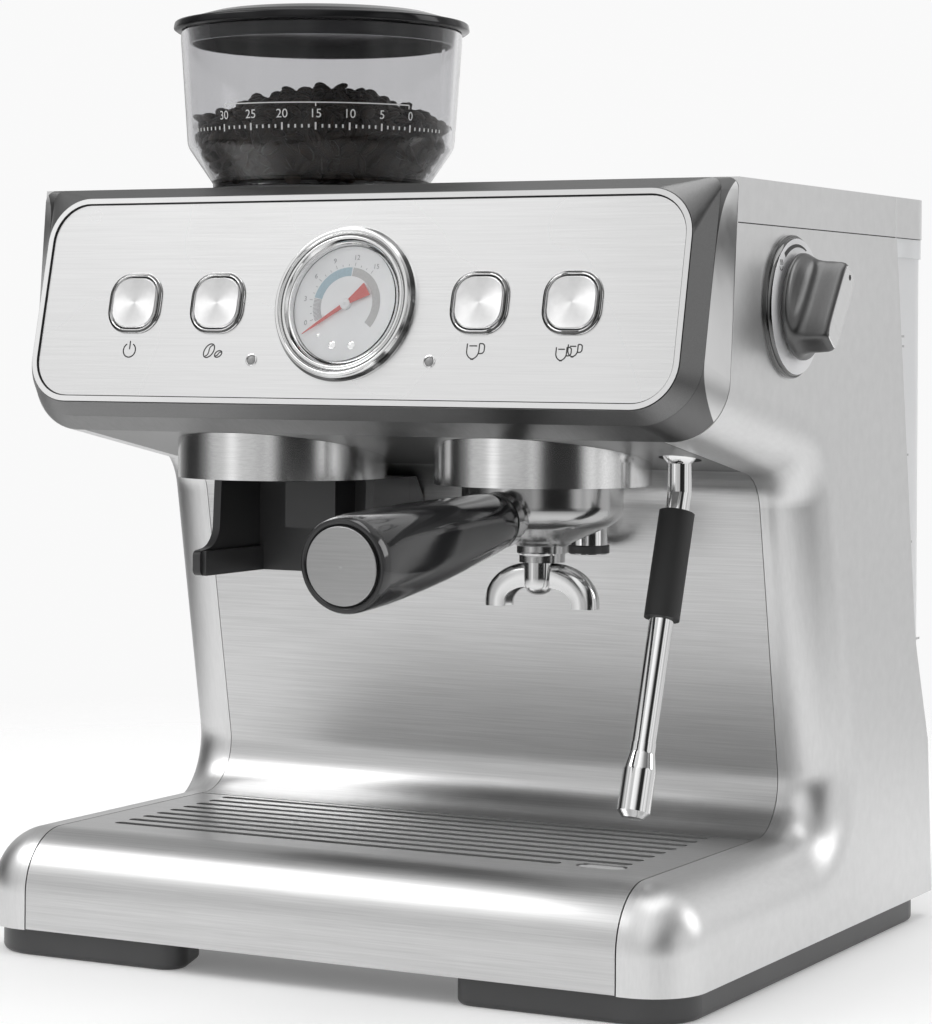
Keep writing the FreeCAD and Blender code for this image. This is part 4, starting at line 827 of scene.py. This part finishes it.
def make_dial_print():
    """Blue and grey bands, lines across the bands, ticks, numbers and three bright studs."""
    place = on_panel(0, GAUGE_UP, DIAL_OUT)
    new_piece("dial_blue_band", dial_band(bar_angle(3.4), bar_angle(11.6)), "housing", "dial_white",
              place, INK_BLUE)
    new_piece("dial_grey_band", dial_band(bar_angle(11.8), -38), "housing", "dial_white", place,
              INK_PALE)
    fine = [ray(BAND_IN, BAND_OUT, bar_angle(3.2) + 2.2 * step, 0.26 * MM) for step in range(17)]
    for bar in range(BAR_TOP + 1):
        numbered = bar % BARS_PER_NUMBER == 0
        tick_out = TICK_IN + (1.6 if numbered else 0.9)
        fine.append(ray(TICK_IN * MM, tick_out * MM, bar_angle(bar), 0.2 * MM))
        if numbered:
            spot = turned_point(NUMBER_RADIUS, bar_angle(bar), PRINT_LIFT)
            fine.append(moved(digits(str(bar), 3.0 * MM), Matrix.Translation(spot)))
    new_piece("dial_scale", joined(fine), "housing", "dial_white", place, INK_GREY)
    stud = [(0, 0.9), (0.7, 0.85), (1.3, 0.55), (1.75, 0.2), (1.8, -0.3), (0, -0.3)]
    studs = []
    for across, up, size in ((-4.6, -17.4, 1.0), (4.6, -17.4, 1.0), (-11.9, -13.2, 0.5)):
        part = turned([(r * size, h * size) for r, h in stud], 32)
        studs.append(moved(part, Matrix.Translation((across * MM, up * MM, 0))))
    new_piece("dial_studs", joined(studs), "housing", "bright_chrome", place)


NEEDLE_ANGLE = 214


def flat_solid(outline, low, high):
    """A straight-sided solid on a flat outline."""
    rings = [[Vector((*point, height)) for point in outline] for height in (low, high)]
    return rings_to_mesh(rings)


def make_needle():
    """Red pointer with a wide tail and a white hub."""
    place = on_panel(0, GAUGE_UP, DIAL_OUT) @ Matrix.Rotation(math.radians(NEEDLE_ANGLE), 4, "Z")
    half = [(23.0, 0.12), (16.0, 0.55), (2.0, 0.95), (-2.0, 1.0), (-11.6, 3.1)]
    pointer = [(x * MM, y * MM) for x, y in half] + [(x * MM, -y * MM) for x, y in half[::-1]]
    blade = new_piece("gauge_pointer", flat_solid(pointer, 1.1 * MM, 1.35 * MM), "gauge_needle",
                      "needle_red", place)
    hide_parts("gauge_needle")
    hub = [(0, 2.2), (0.35, 2.2), (0.45, 1.9), (0.6, 2.2), (1.6, 2.1), (2.2, 1.8), (2.35, 1.36),
           (2.35, 0.5), (0, 0.5)]
    new_piece("needle_hub", turned(hub, 40), "gauge_needle", "dial_white", place)


# ---- hopper

HOPPER_AXIS = Vector((middle("hopper").x, middle("hopper").y, 0))
AT_HOPPER = Matrix.Translation(HOPPER_AXIS)
VIEW_SIDE = -62
FOOT_HEIGHT, FOOT_RADIUS = 335.8, 48.8
SHOULDER_HEIGHT, SHOULDER_RADIUS = 352.6, 60.2
RIM_HEIGHT, RIM_RADIUS = 404, 63.5
BOWL_WALL = 2.4


def hopper_radius(height):
    """Outer radius of the clear bowl above its shoulder; both in millimetres."""
    share = (height - SHOULDER_HEIGHT) / (RIM_HEIGHT - SHOULDER_HEIGHT)
    return SHOULDER_RADIUS + share * (RIM_RADIUS - SHOULDER_RADIUS)


def wrapped(part, angle, height, out=0.12):
    """Lays a flat printed part on the bowl, at a height in millimetres."""
    points, faces = part
    bent = []
    for point in points:
        level = height + point.y / MM
        radius = hopper_radius(level) + out + point.z / MM
        turn = angle + math.degrees(point.x / MM / radius)
        bent.append(turned_point(radius * MM, turn, level * MM) + HOPPER_AXIS)
    return bent, faces


def make_hopper_scale():
    """Grind scale on the bowl: ticks, numbers and a line above them."""
    degrees_per_mark, centre_mark, last_number = 2.8, 15, 30
    parts = []
    for mark in range(-7, 38):
        angle = VIEW_SIDE - (mark - centre_mark) * degrees_per_mark
        numbered = mark % 5 == 0 and 0 <= mark <= last_number
        half = 1.6 * MM if numbered else 0.75 * MM
        parts.append(wrapped(ribbon([(0, -half), (0, half)], 0.75 * MM, 0), angle, 358.4))
        if numbered:
            parts.append(wrapped(digits(str(mark), 5.4 * MM), angle, 363.7))
    reach, pieces, line, line_radius = 41, 40, 0.5 * MM, 61 * MM
    half = math.radians(reach / pieces) * line_radius
    for index in range(pieces):
        angle = VIEW_SIDE - reach + 2 * reach * (index + 0.5) / pieces
        parts.append(wrapped(ribbon([(-half, 0), (half, 0)], line, 0), angle, 368.6))
    for angle in (VIEW_SIDE - reach, VIEW_SIDE, VIEW_SIDE + reach):
        parts.append(wrapped(ribbon([(0, -0.9 * MM), (0, 0.9 * MM)], line, 0), angle, 367.8))
    new_piece("hopper_scale", joined(parts), "hopper", "dial_white", finish=INK_WHITE)


BEAN_SEED = 11


def bean_shape():
    """One coffee bean, 10 mm long, with its crease on the flat side."""
    length, width, thick = 5.0 * MM, 3.7 * MM, 2.5 * MM
    spans, sides = 8, 12
    crease_step = sides * 3 // 4
    flat_share, crease_depth, tip_size = 0.55, -0.12, 0.02
    rings = []
    for index in range(spans + 1):
        along = -math.cos(math.pi * index / spans)
        size = math.sqrt(max(1 - along * along, tip_size ** 2))
        ring = []
        for step in range(sides):
            turn = 2 * math.pi * step / sides
            across, up = math.cos(turn), math.sin(turn)
            if step == crease_step:
                up = crease_depth
            elif up < 0:
                up *= flat_share
            ring.append(Vector((along * length, across * width * size, up * thick * size)))
        rings.append(ring)
    return rings_to_mesh(rings)


def heap_height(radius):
    """Top of the bean heap at a distance from the hopper's axis; both in millimetres."""
    return 381 - 17 * (radius / 58) ** 1.6


def wall_inside(height):
    """Inner radius of the bowl at a height; both in millimetres."""
    if height > SHOULDER_HEIGHT:
        return hopper_radius(height) - BOWL_WALL
    share = (height - FOOT_HEIGHT) / (SHOULDER_HEIGHT - FOOT_HEIGHT)
    return FOOT_RADIUS + share * (SHOULDER_RADIUS - FOOT_RADIUS) - BOWL_WALL


def make_beans():
    """Heap of beans: a layer against the wall, the rough top, and a core under them."""
    draw = random.Random(BEAN_SEED)
    shape = bean_shape()
    parts = []

    def lay(radius, angle, height, tilt):
        spot = turned_point(radius * MM, angle, height * MM) + HOPPER_AXIS
        turn = Euler((draw.uniform(-tilt, tilt), draw.uniform(-tilt, tilt),
                      draw.uniform(0, 2 * math.pi))).to_matrix().to_4x4()
        size = draw.uniform(0.85, 1.05)
        parts.append(moved(shape, Matrix.Translation(spot) @ turn @ Matrix.Scale(size, 4)))

    row_height, bean_width, half_bean = 5.4, 8.2, 4.6
    height = 338.5
    while height < 364:
        radius = wall_inside(height) - half_bean
        count = int(2 * math.pi * radius / bean_width)
        for index in range(count):
            lay(radius + draw.uniform(-0.8, 0.4), 360 * index / count + draw.uniform(-3, 3),
                height + draw.uniform(-1.5, 1.5), 1.2)
        height += row_height
    outermost, ring_width, top_width, sunk = 53, 7.4, 8.0, 2.6
    for ring in range(8):
        radius = max(outermost - ring_width * ring, 1)
        count = max(int(2 * math.pi * radius / top_width), 1)
        for index in range(count):
            lay(radius + draw.uniform(-2.2, 1.2), 360 * index / count + draw.uniform(-5, 5),
                heap_height(radius) - sunk + draw.uniform(-1.6, 1.4), 0.7)
    new_piece("coffee_beans", joined(parts), "hopper", "black_plastic", finish=BEAN)
    core = [(0, 336), (40, 336), (45.5, 340), (52, 352), (52, 360), (48, 364), (40, 369),
            (28, 374), (14, 377), (0, 378)]
    new_piece("bean_core", turned(core), "hopper", "black_plastic", AT_HOPPER, BEAN)


def make_hopper_lid():
    """Black lid: a stepped crown, a rounded rim and a short skirt inside the bowl."""
    profile = [(0, 412.7, 0), (50.0, 412.7, 3), (57.5, 410.6, 2), (60.5, 409.2, 1),
               (66.4, 408.6, 1.2), (66.9, 405.4, 0.8), (65.6, 404.5, 0), (60.2, 404.5, 0),
               (59.6, 398.5, 0), (58.4, 398.5, 0), (58.0, 404.6, 0), (0, 404.6, 0)]
    lid = new_piece("hopper_cap", turned(rounded(profile, 4)), "hopper_lid", "gloss_black",
                    AT_HOPPER)
    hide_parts("hopper_lid")


# ---- portafilter

GROUP_AXIS = Vector((63.5 * MM, -57 * MM, 0))


def make_spout():
    """Twin spout: an arched channel, open below, with a round column down its middle."""
    reach, foot, arch_reach, arch_rise = 20.8, 152.9, 15.6, 11.6
    half = []
    for step in range(13):
        turn = math.pi / 2 * step / 12
        half.append((-reach + arch_reach * (1 - math.cos(turn)),
                     foot + 2 + arch_rise * math.sin(turn)))
    line = [(-reach, foot), (-reach, foot + 1.0)] + half
    line += [(-x, z) for x, z in line[::-1]]
    outside = [(-4.7, -5.0), (-5.0, -2.0), (-4.9, 1.2), (-4.3, 3.4), (-2.6, 4.9), (0, 5.3),
               (2.6, 4.9), (4.3, 3.4), (4.9, 1.2), (5.0, -2.0), (4.7, -5.0)]
    inside = [(3.5, -5.0), (3.7, -2.0), (3.1, 1.6), (1.6, 3.1), (0, 3.5), (-1.6, 3.1),
              (-3.1, 1.6), (-3.7, -2.0), (-3.5, -5.0)]
    rings = []
    for index, (x, z) in enumerate(line):
        before = Vector(line[max(index - 1, 0)])
        after = Vector(line[min(index + 1, len(line) - 1)])
        along = (after - before).normalized()
        out = Vector((-along.y, along.x))
        rings.append([Vector((x + out.x * away, side, z + out.y * away)) * MM
                      for side, away in outside + inside])
    arch = new_piece("spout_arch", rings_to_mesh(rings), "portafilter", "bright_chrome",
                     Matrix.Translation(GROUP_AXIS), SPOUT_STEEL, 50)
    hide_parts("portafilter_spout")
    column = [(0, 158.4), (2.6, 158.6), (4.8, 159.8), (5.9, 162.0), (6.1, 166), (6.1, 174.5),
              (7.4, 175.2), (8.6, 175.4), (8.9, 176.0), (8.6, 176.6), (0, 176.6)]
    new_piece("spout_column", turned(column, 64), "portafilter", "bright_chrome",
              Matrix.Translation(GROUP_AXIS + Vector((0, -3.4 * MM, 0))), SPOUT_STEEL)


def soft_square(half_x, half_y, power, height, steps=72):
    """Outline between an ellipse, at power 2, and a rectangle, at high powers."""
    ring = []
    for step in range(steps):
        turn = 2 * math.pi * step / steps
        across, up = math.cos(turn), math.sin(turn)
        x = math.copysign(abs(across) ** (2 / power), across) * half_x
        y = math.copysign(abs(up) ** (2 / power), up) * half_y
        ring.append(Vector((x, y, height)) * MM)
    return ring


HANDLE_ROOT = Vector((0, 0, 195.2 * MM))
HANDLE_DROOP = math.radians(5)


def make_handle():
    """Moulded handle: round at its collar, soft square in the hand, round rim at its end."""
    levels = [(45.1, 11.2, 2.0), (47.0, 12.0, 2.0), (52.0, 12.6, 2.1), (62.0, 13.2, 2.35),
              (76.0, 13.9, 2.7), (92.0, 15.0, 3.0), (108.0, 16.0, 3.1), (124.0, 16.8, 3.1),
              (138.0, 17.4, 3.0), (150.0, 18.0, 2.7), (159.0, 18.5, 2.3), (165.0, 18.7, 2.05),
              (169.0, 18.5, 2.0), (170.2, 18.0, 2.0), (170.5, 17.2, 2.0), (170.3, 16.4, 2.0),
              (169.5, 15.6, 2.0), (169.2, 15.4, 2.0), (169.1, 0.1, 2.0)]
    rings = [soft_square(half, half, power, out) for out, half, power in levels]
    place = Matrix.Translation(GROUP_AXIS + HANDLE_ROOT) @ Matrix.Rotation(
        math.pi / 2 + HANDLE_DROOP, 4, "X")
    grip = new_piece("handle_grip", rings_to_mesh(rings), "portafilter", "gloss_black", place,
                     HANDLE_GLOSS)
    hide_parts("portafilter_handle")


# ---- hot water outlet


def make_outlet_tip():
    """Black lip at the mouth of the hot water outlet."""
    low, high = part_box("hot_water_spout")
    pipe_radius = (high.x - low.x) / 2
    lip = [(0, -0.2), (8.2, -0.2), (9.1, 0.4), (9.1, 3.4), (8.8, 3.8), (0, 3.8)]
    mouth = Matrix.Translation((low.x + pipe_radius, low.y + pipe_radius, low.z))
    new_piece("outlet_tip", turned(lip, 64), "housing", "black_plastic", mouth)


# ---- steam knob

KNOB_AXIS = Vector((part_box("knob_plate")[0].x, *middle("knob_plate").yz))
KNOB_OUT = Matrix.Translation(KNOB_AXIS) @ Matrix(((0, 0, 1, 0), (1, 0, 0, 0), (0, 1, 0, 0),
                                                   (0, 0, 0, 1)))
KNOB_TILT = 37
KNOB_END = 22.9
PLATE_FACE = 3.45
PLATE_RIM = 28.2


def make_knob():
    """Wing knob on a short neck: its round foot is scooped out on both sides of the wing."""
    levels = [(3.8, 16.5, 16.5, 2), (5.0, 16.5, 16.5, 2), (5.2, 21.8, 21.8, 2),
              (5.6, 22.2, 22.2, 2), (6.6, 22.2, 22.2, 2), (7.2, 21.8, 22.1, 2),
              (7.7, 20.2, 22.0, 2.05), (8.2, 17.4, 21.9, 2.2), (8.8, 13.6, 21.6, 2.6),
              (9.6, 10.9, 21.2, 3.2), (10.7, 9.0, 20.8, 4.2), (12.1, 8.0, 20.5, 5.0),
              (14.0, 7.6, 20.3, 5.5), (16.9, 7.3, 20.1, 6), (20.2, 7.0, 19.9, 6),
              (21.7, 6.6, 19.5, 6), (22.6, 5.9, 18.8, 6), (KNOB_END, 5.1, 18.0, 6),
              (KNOB_END, 0.1, 0.1, 6)]
    rings = [soft_square(wide, long, power, out) for out, wide, long, power in levels]
    place = KNOB_OUT @ Matrix.Rotation(math.radians(-KNOB_TILT), 4, "Z")
    # Painted shade: the whole knob, neck included, is dark, so its flanks read as dark reflections
    # and its neck as the shadow in the gap.
    knob = new_piece("knob_wing", rings_to_mesh(rings), "steam_knob", "dark_metal", place,
                     KNOB_PAINTED_SHADE_METAL, 60)
    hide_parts("steam_knob")
    # Painted highlight: a bright steel face on the knob's end for its bright reflection.
    face = [soft_square(5.9, 18.6, 6, KNOB_END - 0.2),
            soft_square(5.7, 18.4, 6, KNOB_END + 0.06)]
    new_piece("knob_end_painted_highlight", rings_to_mesh(face), "steam_knob", "brushed_panel", place)
    dot = turned([(0, KNOB_END), (1.2, KNOB_END), (1.2, KNOB_END + 0.1), (0, KNOB_END + 0.1)], 24)
    new_piece("knob_mark", moved(dot, Matrix.Translation((0, 15.2 * MM, 0))), "steam_knob",
              "black_plastic", place, PAINTED_SHADE_AND_INK)


def tapered_arc(radius, start, end, wide, narrow, lift, steps=24):
    """A printed arc that grows thinner from its start to its end."""
    rings = []
    for step in range(steps + 1):
        share = step / steps
        half = (wide + (narrow - wide) * share) / 2
        angle = start + (end - start) * share
        rings.append([turned_point(radius - half, angle, lift),
                      turned_point(radius + half, angle, lift),
                      turned_point(radius + half, angle, lift + PRINT_THICK),
                      turned_point(radius - half, angle, lift + PRINT_THICK)])
    return rings_to_mesh(rings)


def make_knob_plate():
    """Plate with a stepped rim, a wedge that shows the way to open, a steam sign; its pale face is
    a painted bright reflection and its rim a painted dark reflection.
    """
    profile = [(7.0, 0.02), (29.7, 0.02), (29.7, 1.5), (29.3, 1.9), (28.7, 2.0), (28.5, 2.9),
               (28.1, 3.35), (27.6, PLATE_FACE), (7.0, PLATE_FACE)]
    plate = new_piece("knob_rosette", turned_loop(profile, 144), "housing", "bright_chrome",
                      KNOB_OUT, PLATE_PAINTED_BRIGHT)
    # Painted dark reflection on the stepped rim.
    second_finish(plate, PAINTED_SHADE_CHROME, lambda spot: math.hypot(spot.x, spot.y) > PLATE_RIM * MM)
    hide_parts("knob_plate")
    lift = PLATE_FACE * MM + PRINT_LIFT
    marks = [tapered_arc(25.2 * MM, 124, 68, 2.3 * MM, 0.6 * MM, lift)]
    spot = turned_point(24.9 * MM, 136)
    for step in (-1, 0, 1):
        wave = [(spot.x + (step * 1.1 + 0.3 * math.sin(s)) * MM, spot.y + (s * 0.45 - 0.4) * MM)
                for s in range(6)]
        marks.append(ribbon(wave, 0.35 * MM, lift))
    marks.append(ribbon(arc_path(1.7 * MM, 180, 360, (spot.x, spot.y - 0.9 * MM)), 0.4 * MM, lift))
    new_piece("knob_print", joined(marks), "housing", "black_plastic", KNOB_OUT, INK_DARK)


# ---- studio

FLOOR_SIDES = 64
FLOOR_RADIUS = 0.95
FLOOR_SOLID = 0.32
PAPER = 0.9
FLOOR_GLOW = 0.16


def make_floor():
    """Pale paper disc that fades out into the plain background."""
    points = [turned_point(FLOOR_RADIUS, 360 * step / FLOOR_SIDES) for step in range(FLOOR_SIDES)]
    mesh = bpy.data.meshes.new("floor")
    mesh.from_pydata(points, [], [list(range(FLOOR_SIDES))])
    obj = add_object("floor", mesh)
    finish = Finish("floor_paper", (PAPER,) * 3, 0.9, emission_color=(1, 1, 1, 1),
                    emission_strength=FLOOR_GLOW)
    finish.colours(finish.noise(2), (PAPER - 0.01,) * 3, (PAPER,) * 3)
    distance = finish.add("ShaderNodeVectorMath", operation="LENGTH")
    finish.link(finish.place, distance.inputs[0])
    fade = finish.spread(distance.outputs["Value"], 1, 0, FLOOR_SOLID, FLOOR_RADIUS)
    finish.link(fade, finish.shader.inputs["Alpha"])
    paint(obj, finish)


def make_light(name, place, target, size, watts):
    """A soft rectangular light that faces a target."""
    data = bpy.data.lights.new(name, "AREA")
    data.shape = "RECTANGLE"
    data.size, data.size_y = size
    data.energy = watts
    obj = add_object(name, data)
    obj.location = place
    obj.rotation_mode = "QUATERNION"
    obj.rotation_quaternion = (Vector(target) - Vector(place)).to_track_quat("-Z", "Y")


DARK_ROOM = 0.1
STREAK_DARK = 0.55
STREAK_STRETCH = (2.6, 2.6, 0.7)
BACKDROP = 0.95
# Each wall of the studio: the direction it lies in, the cosines at which it starts and is full,
# and its brightness. A negative brightness is a dark card that takes light away.
WALLS = (
    ((-0.28, -0.87, 0.42), 0.35, 0.95, 1.00),
    ((0.46, 0.88, 0.05), 0.35, 0.92, 0.60),
    ((0.99, -0.08, 0.12), 0.88, 0.985, 1.20),
    ((0.84, -0.54, 0.0), 0.76, 0.97, -0.50),
    ((0.42, -0.90, -0.05), 0.88, 0.99, -0.22),
    ((-0.95, -0.30, 0.0), 0.85, 0.98, -0.20),
    ((0.0, 0.0, 1.0), 0.45, 0.95, 0.38),
    ((0.0, 0.0, -1.0), 0.30, 0.90, 0.06),
    ((-0.46, 0.88, 0.10), 0.55, 0.95, 0.50),
)


def make_world():
    """Soft studio walls for the metal to reflect; the backdrop itself is plain."""
    world = bpy.data.worlds.new("studio")
    world.use_nodes = True
    bpy.context.scene.world = world
    sky = Nodes(world.node_tree)
    place = sky.add("ShaderNodeTexCoord").outputs["Generated"]
    total = None
    for direction, start, end, brightness in WALLS:
        facing = sky.add("ShaderNodeVectorMath", {1: Vector(direction).normalized()},
                         operation="DOT_PRODUCT")
        sky.link(place, facing.inputs[0])
        wall = sky.spread(facing.outputs["Value"], 0, brightness, start, end,
                          interpolation_type="SMOOTHSTEP")
        total = wall if total is None else sky.calculate("ADD", total, wall)
    lit = sky.calculate("ADD", total, DARK_ROOM)
    room = sky.calculate("MAXIMUM", lit, DARK_ROOM / 4)
    flatten = sky.add("ShaderNodeVectorMath", {1: STREAK_STRETCH}, operation="MULTIPLY")
    sky.link(place, flatten.inputs[0])
    clouds = sky.add("ShaderNodeTexNoise", {"Scale": 1.0, "Detail": 1.0})
    sky.link(flatten.outputs["Vector"], clouds.inputs["Vector"])
    streaks = sky.spread(clouds.outputs["Fac"], STREAK_DARK, 1, 0.42, 0.56)
    reflected = sky.tree.nodes["Background"]
    sky.link(sky.calculate("MULTIPLY", room, streaks), reflected.inputs["Strength"])
    backdrop = sky.add("ShaderNodeBackground", {"Strength": BACKDROP})
    for light in (reflected, backdrop):
        light.inputs["Color"].default_value = (1, 1, 1, 1)
    ray_kind = sky.add("ShaderNodeLightPath").outputs
    through = sky.calculate("MAXIMUM", ray_kind["Is Camera Ray"],
                            ray_kind["Is Transmission Ray"])
    either = sky.add("ShaderNodeMixShader")
    sky.link(through, either.inputs["Fac"])
    sky.link(reflected.outputs["Background"], either.inputs[1])
    sky.link(backdrop.outputs["Background"], either.inputs[2])
    sky.link(either.outputs["Shader"], sky.tree.nodes["World Output"].inputs["Surface"])


def make_studio():
    """Floor, surroundings and three soft lights."""
    make_floor()
    make_world()
    make_light("key", (-1.7, -1.1, 2.3), (0, 0, 0.15), (1.6, 1.2), 22)
    make_light("side", (2.2, 1.4, 1.4), (0.1, 0, 0.2), (1.0, 1.4), 12)
    make_light("top", (0.1, 0.2, 2.6), (0, 0, 0.2), (1.8, 1.8), 20)


CAMERA_PLACE = (0.6485, -1.2404, 0.2636)
CAMERA_YAW = 0.484
CAMERA_ROLL = 0.006
LENS_MM = 109.36
SHIFT_UP = -0.1625


def make_camera():
    """Camera at the machine's front right, level, with its picture shifted instead of tilted."""
    data = bpy.data.cameras.new("camera")
    data.lens = LENS_MM
    data.shift_y = SHIFT_UP
    obj = add_object("camera", data)
    right = Vector((math.cos(CAMERA_YAW), math.sin(CAMERA_YAW), 0))
    ahead = Vector((-math.sin(CAMERA_YAW), math.cos(CAMERA_YAW), 0))
    up = Vector((0, 0, 1))
    tilted_right = right * math.cos(CAMERA_ROLL) + up * math.sin(CAMERA_ROLL)
    tilted_up = up * math.cos(CAMERA_ROLL) - right * math.sin(CAMERA_ROLL)
    turn = Matrix((tilted_right, tilted_up, -ahead)).transposed()
    obj.matrix_world = Matrix.Translation(CAMERA_PLACE) @ turn.to_4x4()
    bpy.context.scene.camera = obj
    bpy.context.scene.view_settings.view_transform = "Standard"


make_camera()
make_studio()
paint_nodes()
make_button_caps()
make_button_rings()
make_panel_print()
make_seams()
make_tank_rim()
make_tank_marks()
make_back_details()
make_lamps()
make_gauge_ring()
make_dial_print()
make_needle()
make_hopper_scale()
make_beans()
make_hopper_lid()
make_spout()
make_outlet_tip()
make_handle()
make_knob()
make_knob_plate()
